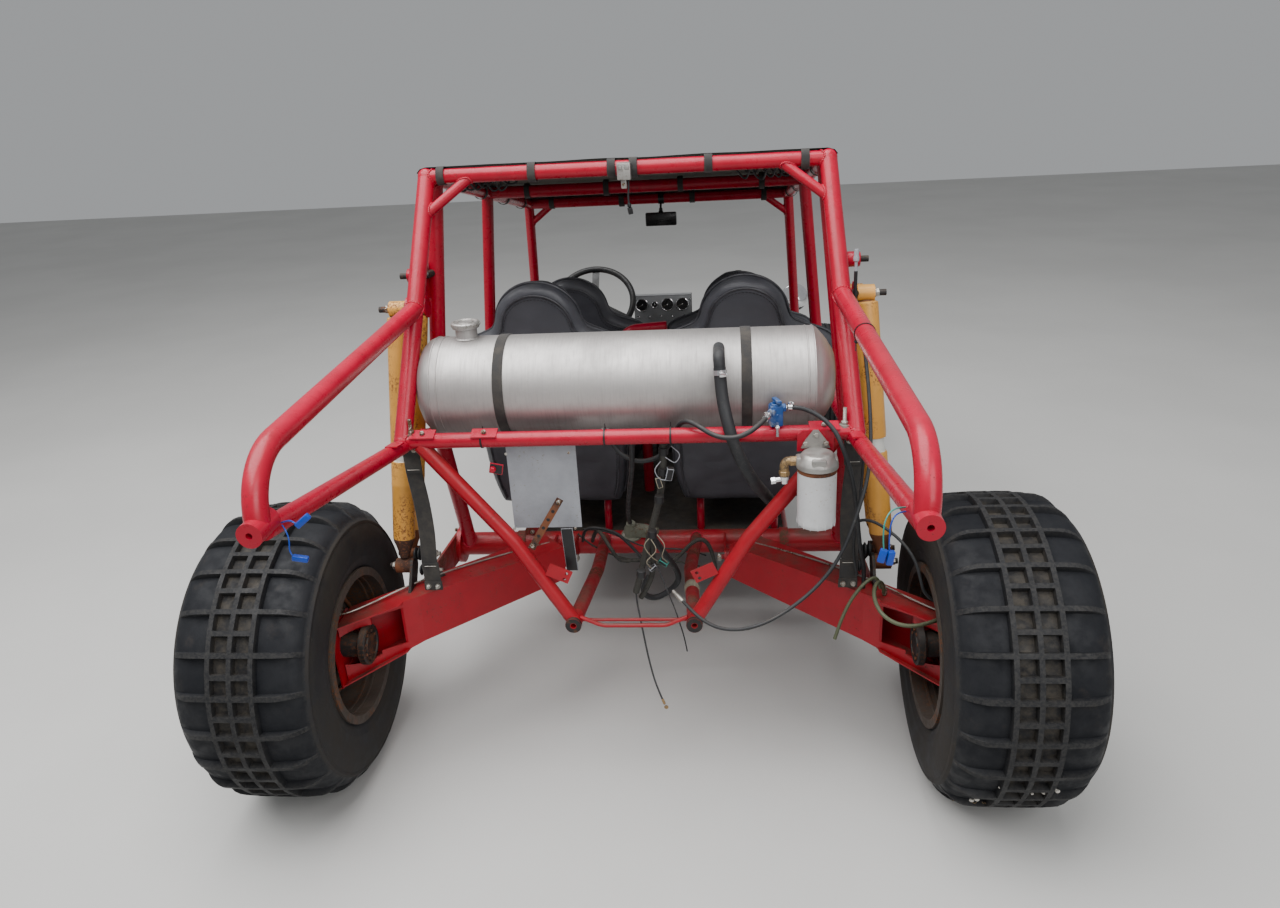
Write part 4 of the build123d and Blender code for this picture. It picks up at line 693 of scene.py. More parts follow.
class BUGGY_OT_finishes(bpy.types.Operator):
    """Make the finishes and give them to the frame's own pieces"""

    bl_idname = "buggy.finishes"
    bl_label = "Paint the frame"

    def execute(self, context):
        for row in finish_table:
            finishes[row[0]] = worn_finish(*row)
        for build in (tyre_rubber, sidewall_rubber, seat_vinyl, vinyl_piping, roof_canvas, woven_strap, lamp_glass):
            finishes[build.__name__] = build()
        finishes["tank_aluminium"] = tank_aluminium(context.scene.buggy_tank)
        finishes["floor_pale"] = floor_concrete(context.scene.buggy_stage)
        paint_nodes(
            "red_paint", "rear_down_tubes", "roof_side_rails", "main_hoop", "side_tubes", "pillars",
            "roof_cross_bars", "rear_cross_tubes", "loop_lower_tubes", "loop_upper_tubes", "nose_tubes",
            "seat_tubes",
        )
        paint_nodes("red_dusty", "trailing_arms", "cradle_tubes", "torsion_housing", "lower_rails", "front_beam")
        paint_nodes("red_worn", "frame_horns", "spring_plates")
        paint_nodes(
            "black_steel", "shock_pins", "front_arms", "knuckle_left", "knuckle_right", "tie_rods", "steering_rack",
            "cab_controls",
        )
        paint_nodes("floor_steel", "floor_pan")
        paint_nodes("rim_rust", "rim_rear_left", "rim_rear_right", "rim_front_left", "rim_front_right")
        paint_nodes("wheel_black", "steering_wheel")
        paint_nodes("plate_grey", "blank_plate")
        return {"FINISHED"}


class BUGGY_OT_camera(bpy.types.Operator):
    """Stand the camera where the photograph was taken"""

    bl_idname = "buggy.camera"
    bl_label = "Camera"

    def execute(self, context):
        settings = context.scene.buggy_camera
        heading, dip, tilt = settings.heading, settings.dip, settings.tilt
        sight = Vector((-sin(heading) * cos(dip), cos(heading) * cos(dip), -sin(dip)))
        level = Vector((cos(heading), sin(heading), 0))
        down = sight.cross(level)
        right = level * cos(tilt) + down * sin(tilt)
        up = level * sin(tilt) - down * cos(tilt)
        data = bpy.data.cameras.new("buggy_camera")
        data.sensor_width = 36.0
        data.lens = settings.lens
        camera = bpy.data.objects.new("buggy_camera", data)
        camera.matrix_world = Matrix.Translation(settings.place) @ Matrix((right, up, -sight)).transposed().to_4x4()
        context.scene.collection.objects.link(camera)
        context.scene.camera = camera
        return {"FINISHED"}


# Cords that the part has too, on its routes: node, diameter, length, finish, far end, stiffness,
# how it lies, route, in millimetres
cord_table = (
    ("vent_hose", 30, 411, "hose_rubber", "bare", "stiff", "hanging", (
        (234, 52, 1120), (237, 40, 1062), (247, 18, 1008), (261, 2, 955), (281, -1, 902), (306, 14, 850),
        (330, 44, 804), (352, 82, 762),
    )),
    ("fuel_hose_left", 12, 577, "hose_rubber", "object", "medium", "loose", (
        (346, 12, 1010), (327, -16, 1002), (302, -38, 990), (271, -48, 980), (238, -40, 977),
        (208, -16, 980), (180, 12, 990), (154, 40, 993), (134, 67, 976), (119, 86, 942), (104, 97, 906),
        (82, 103, 877), (51, 106, 863), (17, 109, 862), (-15, 113, 875), (-38, 117, 900), (-50, 120, 931),
    )),
    ("fuel_hose_right", 11, 671, "hose_rubber", "object", "medium", "hanging", (
        (392, 38, 1022), (420, 35, 1022), (450, 27, 1012), (479, 12, 996), (501, -8, 974), (515, -24, 943),
        (527, -30, 907), (539, -22, 868), (548, -8, 826), (556, 5, 780), (563, 18, 732), (570, 32, 684),
        (578, 50, 638), (588, 74, 596), (597, 100, 560), (602, 116, 520), (602, 122, 481),
    )),
    ("long_cable", 9, 1150, "hose_rubber", "fitting", "medium", "hanging", (
        (568, 192, 1220), (576, 176, 1190), (581, 150, 1146), (585, 114, 1094), (587, 76, 1038),
        (588, 44, 980), (587, 16, 918), (579, -10, 862), (564, -30, 812), (547, -44, 762), (529, -54, 710),
        (504, -64, 660), (470, -76, 616), (428, -92, 580), (380, -107, 549), (328, -118, 523),
        (274, -118, 506), (222, -102, 499), (180, -66, 500), (146, -22, 508), (112, 26, 520),
    )),
    ("loom", 18, 507, "loom_olive", "connector", "medium", "hanging", (
        (92, 69, 942), (91, 70, 896), (87, 72, 842), (79, 77, 786), (66, 85, 732), (50, 97, 676),
        (34, 112, 616), (19, 129, 556), (6, 142, 504), (-7, 150, 455),
    )),
    ("earth_cable", 5, 308, "hose_rubber", "connector", "limp", "hanging", (
        (-7, 150, 454.7), (-6, 145, 430), (1, 128, 398), (12, 98, 354), (25, 64, 304), (40, 32, 258),
        (55, 10, 226), (67, 0, 200),
    )),
    ("brake_hose", 10, 461, "olive_hose", "object", "medium", "loose", (
        (652, 90, 477.5), (648, 84, 506), (636, 62, 534), (618, 26, 550), (604, -16, 552), (602, -58, 542),
        (616, -94, 528), (646, -114, 518), (684, -114, 512), (722, -94, 508), (756, -66, 502),
        (784, -44, 498), (811.7, -38, 496),
    )),
    ("light_wire", 5, 71, "hose_rubber", "plug", "limp", "hanging", (
        (14, 362, 1526.4), (14, 362, 1504), (10, 366, 1484), (13, 370, 1456),
    )),
)


# Cords that only this scene has: name, diameter, finish, far end, stiffness, route, in millimetres
small_cord_table = (
    ("coolant_hose", 14, "hose_rubber", "object", "medium", (
        (12, 80, 925), (10, 95, 870), (-6, 180, 780), (-30, 310, 665), (-48, 430, 560), (-60, 540, 485),
        (-63, 596, 448),
    )),
    ("brake_hose_high", 8, "hose_rubber", "object", "medium", (
        (575, 112, 680), (596, 102, 696), (638, 62, 690), (680, 28, 662), (706, 4, 625), (716, -14, 585),
        (724, -22, 552), (745, -22, 530), (775, -16, 512), (811, -12, 500),
    )),
    ("olive_hose_low", 9, "olive_hose", "bare", "medium", (
        (640, 86, 500), (634, 84, 528), (618, 74, 540), (594, 58, 532), (570, 46, 508), (551, 38, 478),
        (535, 26, 446), (524, 18, 416), (517, 14, 392),
    )),
    ("side_cable_right", 7, "hose_rubber", "bare", "medium", (
        (566, 52, 1000), (574, 50, 930), (577, 54, 850), (574, 62, 765), (568, 74, 690), (566, 86, 622),
        (572, 92, 572), (580, 94, 536),
    )),
    ("bay_cable_low", 6, "loom_olive", "bare", "limp", (
        (-235, 590, 412), (-200, 586, 376), (-127, 578, 338), (-40, 572, 318), (23, 572, 322),
        (97, 578, 314), (159, 584, 290),
    )),
    ("bay_cable_high", 5, "hose_rubber", "bare", "limp", (
        (-215, 588, 430), (-150, 560, 440), (-80, 540, 420), (-10, 520, 395), (60, 505, 400),
        (130, 510, 392), (180, 530, 360),
    )),
    ("loom_branch", 15, "loom_olive", "bare", "medium", (
        (47, 110, 658), (44, 132, 600), (46, 150, 533), (30, 158, 473), (4, 166, 428),
    )),
    ("bay_hose_loop", 17, "hose_rubber", "bare", "medium", (
        (52, 112, 640), (74, 160, 570), (98, 215, 500), (110, 250, 440), (88, 270, 395), (40, 262, 366),
        (6, 245, 386), (4, 230, 430), (24, 220, 462),
    )),
    ("bay_harness", 12, "loom_olive", "bare", "limp", (
        (-190, 600, 380), (-176, 562, 430), (-150, 500, 470), (-113, 425, 456), (-82, 415, 402),
        (-22, 420, 409), (30, 415, 393), (90, 420, 404), (150, 425, 474), (185, 440, 462), (206, 445, 400),
        (210, 440, 352),
    )),
    ("bay_hose_left", 10, "hose_rubber", "bare", "medium", (
        (-222, 600, 380), (-210, 556, 438), (-178, 520, 470), (-130, 508, 468), (-78, 500, 450),
        (-18, 490, 372),
    )),
    ("tail_wire", 3.5, "hose_rubber", "bare", "limp", (
        (60, 104, 560), (86, 74, 500), (108, 44, 455), (121, 24, 420), (130, 18, 385), (134, 18, 352),
    )),
)


def spot_mm(place):
    return spot(*(value / 1000 for value in place))


def lay_cord(context, name, diameter, length, finish, far_end, stiffness, lay, places, ends=(), node=None):
    """A round cord on a smooth route.

    Its diameter, length and places are in millimetres; length is not used, and neither are ends, the pieces that sit on
    its ends.
    """
    curve = bpy.data.curves.new(name, "CURVE")
    curve.dimensions = "3D"
    curve.bevel_depth = diameter / 2000
    curve.bevel_resolution = 5 if diameter > 8 else 3
    curve.resolution_u = 10
    curve.use_fill_caps = True
    spline = curve.splines.new("NURBS")
    spline.points.add(len(places) - 1)
    for point, place in zip(spline.points, places):
        point.co = (*spot_mm(place), 1)
    spline.order_u = 3
    spline.use_endpoint_u = True
    curve.materials.append(finishes[finish])
    cord = bpy.data.objects.new(name, curve)
    context.scene.collection.objects.link(cord)
    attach(cord, "chassis")
    if node:
        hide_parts(node)


class BUGGY_OT_cords(bpy.types.Operator):
    """Lay the hoses and cables along their routes, with what sits on their ends"""

    bl_idname = "buggy.cords"
    bl_label = "Hoses and cables"

    def execute(self, context):
        ends = self.cord_ends()
        for node, *facts in cord_table:
            lay_cord(context, node + "_line", *facts, ends.get(node, ()), node)
        for name, diameter, finish, far_end, stiffness, places in small_cord_table:
            lay_cord(context, name, diameter, None, finish, far_end, stiffness, "hanging", places)
        return {"FINISHED"}

    def cord_ends(self):
        """Clamps, connectors and terminals, by the node of the cord that they sit on."""
        ends = {}
        bm = bmesh.new()
        vent_top = spot(0.2346, 0.0506, 1.108)
        vent_run = Vector((-0.003, 0.012, 0.058)).normalized()
        add_band(bm, vent_top - vent_run * 0.006, vent_run, 0.0152, 0.0172, 0.012, 32)
        add_block(bm, vent_top + Vector((0.006, -0.018, 0)), (0.016, 0.009, 0.011), (0, 5, 20), 0.001)
        add_bolt(bm, vent_top + Vector((0.014, -0.018, 0)), (1, 0.3, 0), 0.004)
        ends["vent_hose"] = [piece("vent_clamp", bm, ["chrome"])]

        bm = bmesh.new()
        for centre, run, radius in (
            (spot(0.341, 0.005, 1.008), Vector((-0.019, -0.028, -0.008)), 0.0066),
            (spot(0.399, 0.0372, 1.022), Vector((0.028, -0.003, 0)), 0.0061),
        ):
            run.normalize()
            add_band(bm, centre - run * 0.0045, run, radius - 0.0006, radius + 0.0012, 0.009, 24)
            add_block(bm, centre + Vector((0, 0, radius + 0.004)), (0.01, 0.008, 0.007), (0, 0, 30), 0.001)
            add_bolt(bm, centre + Vector((0.005, -0.003, radius + 0.004)), (1, -0.4, 0), 0.0032)
        ends["fuel_hose_left"] = [piece("hose_clamps", bm, ["chrome"])]

        bm = bmesh.new()
        tip = spot(0.112, 0.026, 0.52)
        run = Vector((-0.034, 0.048, 0.012)).normalized()
        add_lathe(
            bm, tip - run * 0.03, run,
            ((0, 0.0052), (0.002, 0.0062), (0.028, 0.0062), (0.03, 0.0045), (0.046, 0.0045), (0.047, 0.003)), 18,
        )
        ends["long_cable"] = [piece("cable_ferrule", bm, ["zinc_bolt"])]

        bm = bmesh.new()
        loom_top = spot(0.0915, 0.0695, 0.905)
        for height, radius in ((0.0, 0.0125), (-0.055, 0.0118), (-0.125, 0.012), (-0.21, 0.0118), (-0.3, 0.012)):
            ahead = 0.0695 - height * height * 0.9
            centre = spot(0.0915 + height * 0.05 + height * abs(height) * 0.55, ahead, loom_top.z + height)
            add_lathe(bm, centre, (0.08, -0.05, 1), ridge(0, 0.01, 0.0095, 0.009, radius), 14)
        add_block(bm, spot(0.104, 0.06, 0.846), (0.018, 0.014, 0.034), (8, 12, 15), 0.002, 1)
        add_block(bm, spot(0.078, 0.06, 0.823), (0.014, 0.012, 0.028), (-6, -14, 5), 0.002, 2)
        add_block(bm, spot(0.075, 0.126, 0.56), (0.026, 0.014, 0.012), (10, 25, -20), 0.002, 3)
        add_block(bm, spot(0.046, 0.118, 0.548), (0.022, 0.012, 0.01), (10, -35, 20), 0.002, 1)
        wires = (
            (2, (0.06, 0.088, 0.668), (0.082, 0.082, 0.636), (0.074, 0.092, 0.596), (0.086, 0.112, 0.568)),
            (2, (0.05, 0.09, 0.66), (0.03, 0.082, 0.634), (0.046, 0.086, 0.6), (0.06, 0.108, 0.574)),
            (2, (0.046, 0.092, 0.65), (0.06, 0.078, 0.622), (0.034, 0.08, 0.588), (0.044, 0.1, 0.556)),
            (1, (0.096, 0.062, 0.89), (0.12, 0.052, 0.88), (0.132, 0.05, 0.902), (0.112, 0.056, 0.922)),
            (1, (0.084, 0.06, 0.88), (0.07, 0.048, 0.862), (0.08, 0.05, 0.838), (0.1, 0.056, 0.83)),
        )
        for paint, *places in wires:
            add_pipe(bm, spots(places), 0.0013, 6, 6, paint)
        paints = ("black_plastic", "plate_grey", "wire_pale", "wire_teal", "wire_blue")
        ends["loom"] = [piece("loom_fittings", bm, paints)]

        bm = bmesh.new()
        tip = spot(0.067, 0.0, 0.2)
        add_lathe(
            bm, tip + Vector((-0.004, 0.003, 0.01)), (0.4, -0.33, -0.86),
            ((0, 0.003), (0.002, 0.0036), (0.014, 0.0036), (0.016, 0.0025)), 14,
        )
        add_plate(
            bm, [tip + Vector((0.006 + 0.006 * cos(a), -0.004, -0.012 + 0.006 * sin(a))) for a in turns(14)],
            Vector((0, 0.0016, 0)),
        )
        ends["earth_cable"] = [piece("earth_ring", bm, ["brass"])]

        bm = bmesh.new()
        add_rod(bm, spot(0.797, -0.041, 0.497), spot(0.81, -0.038, 0.496), 0.0068, 6)
        add_rod(bm, spot(0.652, 0.09, 0.48), spot(0.6515, 0.0895, 0.494), 0.0068, 6)
        ends["brake_hose"] = [piece("brake_hose_nuts", bm, ["zinc_bolt"])]

        bm = bmesh.new()
        add_lathe(
            bm, spot(0.0115, 0.368, 1.47), (0.1, 0.13, -1),
            ((0, 0.003), (0.004, 0.0052), (0.01, 0.0052), (0.012, 0.003)), 14,
        )
        add_block(bm, spot(0.014, 0.371, 1.449), (0.012, 0.01, 0.016), (8, -10, 15), 0.0015)
        ends["light_wire"] = [piece("wire_plug", bm, ["black_plastic"])]
        return ends


class BUGGY_OT_welds(bpy.types.Operator):
    """Run a weld bead round each joint of the frame's tubes"""

    bl_idname = "buggy.welds"
    bl_label = "Weld beads"

    def execute(self, context):
        bm = bmesh.new()
        for side in (-1, 1):
            roof_rear, roof_front = corner("roof_rear", side), corner("roof_front", side)
            rear_low, waist = corner("rear_low", side), corner("hoop_waist", side)
            waist_front, nose_top = corner("waist_front", side), corner("nose_top", side)
            rear_brace = part_way(roof_rear, rear_low, 0.16)
            front_brace = part_way(roof_front, waist_front, 0.14)
            rear_brace_top = roof_rear - Vector((side * 0.122, 0, 0))
            front_brace_top = roof_front - Vector((side * 0.101, 0, 0))
            centre = Vector((1, 0, 0))
            torsion = (corner("torsion_end", side), corner("torsion_end", -side), torsion_tube)
            joints = (
                (rear_brace, rear_brace_top, brace_tube, roof_rear, rear_low, heavy_tube),
                (rear_brace_top, rear_brace, brace_tube, roof_rear, roof_rear - centre, main_tube),
                (front_brace, front_brace_top, brace_tube, roof_front, waist_front, main_tube),
                (front_brace_top, front_brace, brace_tube, roof_front, roof_front - centre, main_tube),
                (roof_middle(side), roof_middle(-side), main_tube, roof_rear, roof_front, main_tube),
                (roof_middle(side), waist_middle(side), main_tube, roof_rear, roof_front, main_tube),
                (waist_middle(side), roof_middle(side), main_tube, waist, waist_front, main_tube),
                (roof_rear, corner("roof_rear", -side), main_tube, roof_rear, rear_low, heavy_tube),
                (roof_rear, roof_front, main_tube, roof_rear, rear_low, heavy_tube),
                (hoop_top(side), waist, heavy_tube, roof_rear, roof_front, heavy_tube),
                (shoulder(side), corner("knee", side), heavy_tube, roof_rear, rear_low, heavy_tube),
                (rear_low, corner("rear_low", -side), main_tube, roof_rear, rear_low, heavy_tube),
                (rear_low, waist, main_tube, roof_rear, rear_low, heavy_tube + 0.001),
                (waist, rear_low, main_tube, hoop_top(side), waist, heavy_tube + 0.004),
                (waist, waist_front, main_tube, hoop_top(side), waist, heavy_tube + 0.004),
                (side_middle(side), side_middle(-side), main_tube, rear_low, waist, main_tube),
                (corner("horn_end", side), corner("horn_bend", side), main_tube, *torsion),
                (corner("hoop_foot", side), waist, heavy_tube, *torsion),
                (waist_front, nose_top, main_tube, waist_front, corner("waist_front", -side), main_tube),
            )
            for foot, away, radius, host_start, host_end, host_radius in joints:
                add_weld(bm, foot, away, radius, host_start, host_end, host_radius)
        piece("frame_welds", bm, ["red_paint"], sharp=60)
        return {"FINISHED"}


# Radius over the rear tread's ribs
tread_reach = 0.3875

# Half of each tyre's section, from the crown out: across, radius of the carcass, height of the
# tread above it, where 1 is the whole depth
rear_section = (
    # the middle rib and the pockets beside it
    (0.0, 0.3745, "ridge"), (0.0058, 0.3745, "ridge"), (0.008, 0.3745, "pocket"),
    (0.026, 0.3745, "pocket"), (0.044, 0.3742, "pocket"), (0.0462, 0.374, "ridge"),
    (0.0578, 0.3738, "ridge"),
    # the shoulder panels
    (0.06, 0.3736, "shoulder"), (0.074, 0.373, "shoulder"), (0.09, 0.3722, "shoulder"),
    (0.106, 0.3708, "shoulder"), (0.122, 0.3682, "shoulder"), (0.136, 0.3636, "shoulder"),
    (0.147, 0.357, "shoulder"), (0.155, 0.349, "shoulder"), (0.16, 0.342, "edge"),
)
rear_sidewall = (
    # lip of the shoulder, dished wall, ring above the rim, bead
    (0.1632, 0.34), (0.1662, 0.3372), (0.1672, 0.333), (0.1662, 0.329), (0.1688, 0.323),
    (0.1716, 0.305), (0.1722, 0.285), (0.171, 0.264), (0.168, 0.246), (0.1684, 0.242),
    (0.1668, 0.238), (0.164, 0.227), (0.16, 0.216), (0.1568, 0.2105), (0.156, 0.1945),
)
front_section = (
    (0.0, 0.3, "ridge"), (0.01, 0.2998, "ridge"), (0.012, 0.2994, "gap"), (0.017, 0.299, "gap"),
    (0.019, 0.2988, "ridge"), (0.033, 0.2978, "ridge"), (0.035, 0.2974, "gap"), (0.04, 0.2968, "gap"),
    (0.042, 0.2964, "ridge"), (0.058, 0.293, "ridge"), (0.06, 0.2915, "edge"),
)
front_sidewall = (
    (0.068, 0.286), (0.074, 0.276), (0.079, 0.264), (0.0812, 0.25), (0.08, 0.234),
    (0.076, 0.222), (0.07, 0.214), (0.062, 0.2105), (0.061, 0.1945),
)


def add_tyre(bm, centre, section, sidewall, stations, depth, seed):
    """A tyre as rings from station to station round its axle; stations give (turn, kind)."""
    rib_wear_and_lip_highlight = bm.verts.layers.float.new("rib_wear_and_lip_highlight")
    pocket = bm.verts.layers.float.new("pocket")
    half = [(x, radius, kind) for x, radius, kind in section] + [(x, radius, "wall") for x, radius in sidewall]
    across = [(-x, radius, kind) for x, radius, kind in reversed(half[1:])] + half
    sink = max(0.0, section[0][1] + depth - tread_reach) if depth > 0.01 else 0.0
    rings = []
    for turn, kind in stations:
        out = Vector((0, cos(turn), sin(turn)))
        ring = []
        for x, radius, zone in across:
            rib = (zone == "pocket" and kind != "panel") or (zone == "shoulder" and kind == "long")
            raised = zone == "ridge" or rib
            share = 1.0 if raised else 0.0
            if zone == "shoulder":
                share *= min(1.0, max(0.12, (0.157 - abs(x)) / 0.045))
            rise = share * depth
            point = centre + Vector((x, 0, 0)) + out * (radius + rise - sink)
            rough = noise.noise((point + Vector((seed, 0, 0))) * 60) * (0.001 if raised else 0.0005)
            rough += noise.noise((point + Vector((seed, 3, 0))) * 260) * (0.0006 if raised else 0)
            if zone in ("edge", "shoulder") or raised:
                point += out * rough
            vert = bm.verts.new(point)
            vert[pocket] = 1.0 if zone == "pocket" and not raised else 0.0
            # Rib tops are worn paler; the shoulder's lip is paler too, as a painted highlight.
            vert[rib_wear_and_lip_highlight] = 1.0 if raised else (0.75 if zone == "edge" or 0.336 < radius < 0.341 else 0.0)
            ring.append(vert)
        rings.append(ring)
    edge = section[-1][0] - 0.0001
    for first, second in zip(rings, rings[1:] + rings[:1]):
        count = len(first)
        for number in range(count):
            following = (number + 1) % count
            face = bm.faces.new((first[number], first[following], second[following], second[number]))
            outside = min(abs(across[number][0]), abs(across[following][0])) >= edge
            face.material_index = 1 if outside or following == 0 else 0


class BUGGY_OT_tyres(bpy.types.Operator):
    """Mould the tyres with their treads"""

    bl_idname = "buggy.tyres"
    bl_label = "Tyres"

    def execute(self, context):
        settings = context.scene.buggy_tyres
        paints = ["tyre_rubber", "sidewall_rubber"]
        pitch = 2 * pi / settings.pitches
        half, foot = settings.rib_half / 0.38, (settings.rib_half + settings.flank) / 0.38
        stations = []
        for number in range(settings.pitches):
            kind = "long" if number % 2 == 0 else "short"
            start = number * pitch
            stations += [(start - half, kind), (start + half, kind), (start + foot, "panel")]
            stations += [(start + foot + (pitch - 2 * foot) * share, "panel") for share in (0.34, 0.67, 1.0)]
        for number, name in enumerate(("rear_left", "rear_right")):
            bm = bmesh.new()
            add_tyre(
                bm, node_middle("tyre_" + name), rear_section, rear_sidewall, stations, settings.tread_depth,
                5 * number,
            )
            piece("tread_" + name, bm, paints, "wheel_" + name, ("tyre_" + name,), 32)
        plain = [(turn, "panel") for turn in turns(120)]
        for number, name in enumerate(("front_left", "front_right")):
            bm = bmesh.new()
            add_tyre(bm, node_middle("tyre_" + name), front_section, front_sidewall, plain, 0.005, 9 + number)
            piece("tread_" + name, bm, paints, "wheel_" + name, ("tyre_" + name,), 32)
        self.add_debris()
        return {"FINISHED"}

    def add_debris(self):
        """Pale grit and dry grass caught in the right tyre's tread."""
        bm = bmesh.new()
        centre = node_middle("tyre_rear_right")
        for number in range(30):
            mark = noise.cell_vector(Vector((number * 1.37, 2.1, 0.4)))
            turn = radians(-96 - 62 * mark.x)
            x = (mark.y - 0.5) * 0.22
            out = Vector((0, cos(turn), sin(turn)))
            size = 0.0022 + 0.004 * mark.z
            add_ball(bm, centre + Vector((x, 0, 0)) + out * (0.375 + size * 0.3), size, (1.2, 0.9, 0.8), 8)
        for number in range(70):
            mark = noise.cell_vector(Vector((number * 2.11, 7.3, 1.9)))
            second = noise.cell_vector(Vector((number * 1.71, 3.3, 5.2)))
            turn = radians(-106 - 34 * mark.x)
            x = -0.03 + (mark.y - 0.5) * 0.13
            out = Vector((0, cos(turn), sin(turn)))
            start = centre + Vector((x, 0, 0)) + out * 0.3765
            lean = Vector((second.x - 0.5, 0, 0)) * 0.05 + out.cross(Vector((1, 0, 0))) * (second.y - 0.5) * 0.06
            add_pipe(
                bm, [start, start + lean * 0.5 + out * 0.006 * second.z, start + lean + out * 0.002], 0.0007, 4, 3, 1,
            )
        piece("tread_debris", bm, ["pebble", "dry_grass"], "wheel_rear_right")


class BUGGY_OT_wheels(bpy.types.Operator):
    """Add the rims' rings, nuts, drum ribs and valves"""

    bl_idname = "buggy.wheels"
    bl_label = "Wheel details"

    def execute(self, context):
        rows = (
            # wheel, side, half width of the rim, disc from its middle, hub end from its middle, hub radius
            ("rear_left", -1, 0.165, 0.01, 0.054, 0.058),
            ("rear_right", 1, 0.165, 0.01, 0.054, 0.058),
            ("front_left", -1, 0.07, 0.018, 0.06, 0.04),
            ("front_right", 1, 0.07, 0.018, 0.06, 0.04),
        )
        for name, side, half, disc, hub_end, hub_radius in rows:
            bm = bmesh.new()
            centre = node_middle("rim_" + name)
            centre.x = node_middle("tyre_" + name).x
            out = Vector((side, 0, 0))
            for place in (-half + 0.035, -half + 0.055, half - 0.03):
                add_lathe(bm, centre, out, ridge(place, 0.005, 0.1861, 0.003, 0.1832), 72, hollow=True)
            add_bolt_circle(bm, centre + out * disc, side, hub_radius + 0.044, 5, 0.3, 0.0105, 0.014)
            for number in range(12):
                turn = 2 * pi * number / 12
                place = centre + out * (disc - 0.012) + Vector((0, cos(turn), sin(turn))) * 0.163
                add_ball(bm, place + out * 0.012, 0.017, (0.12, 1, 1), 12, 2)
            add_bolt(bm, centre + out * hub_end, out, 0.021, 0.02, 0.008, 1)
            valve = centre + out * (disc + 0.012) + Vector((0, 0.1, 0.135))
            add_rod(bm, valve, valve + out * 0.032, 0.0042, 10, 2)
            if half > 0.1:
                for place in (-0.065, -0.049, -0.033):
                    add_lathe(bm, centre, out, ridge(place, 0.004, 0.1402, 0.002, 0.144), 64, hollow=True)
            piece("wheel_fittings_" + name, bm, ["rim_rust", "zinc_bolt", "black_plastic"], "wheel_" + name)
        return {"FINISHED"}


# Seats: rows by the distance ahead of the back's top edge and the top's height
seat_centre_x = 0.31
seat_lean = radians(12.0)
seat_height = 0.776
seat_head_radius = 0.132
seat_rows = ((0.592, 1.216), (1.256, 1.098))
seat_half_outline = (
    (0.205, 0.0), (0.235, 0.13), (0.235, 0.48), (0.272, 0.556), (0.262, 0.604), (0.168, 0.636), (0.136, 0.654),
)


def drawn_in(outline, inset):
    """An open outline moved inwards; its two feet stay level."""
    ends = [outline[0], *outline, outline[-1]]
    moved = []
    for (x0, y0), (x1, y1), (x2, y2) in zip(ends, ends[1:], ends[2:]):
        inward = Vector((-(y2 - y0), x2 - x0, 0)).normalized() * inset
        moved.append((x1 + inward.x, max(y1 + inward.y, inset)))
    return moved


def seat_outline():
    """The back's outline, anticlockwise from its right foot, in the plane of its rear face."""
    head = seat_height / cos(seat_lean) - seat_head_radius
    arc = [
        (seat_head_radius * cos(a), head + seat_head_radius * sin(a))
        for a in [radians(20 + 10 * n) for n in range(15)]
    ]
    half = list(seat_half_outline)
    points = half + arc + [(-x, y) for x, y in reversed(half)]
    for _ in range(2):
        cut = [points[0]]
        for first, second in zip(points, points[1:]):
            cut.append(tuple(a * 0.75 + b * 0.25 for a, b in zip(first, second)))
            cut.append(tuple(a * 0.25 + b * 0.75 for a, b in zip(first, second)))
        points = cut + [points[-1]]
    return points


def seat_places():
    """Foot of each back's rear face, the way that face looks, and the way up it."""
    back = Vector((0, -cos(seat_lean), -sin(seat_lean)))
    rise = Vector((0, -sin(seat_lean), cos(seat_lean)))
    places = []
    for ahead, top in seat_rows:
        for side in (-1, 1):
            foot = spot(side * seat_centre_x, ahead, top - seat_height) + Vector((0, seat_height * tan(seat_lean), 0))
            places.append((foot, back, rise))
    return places


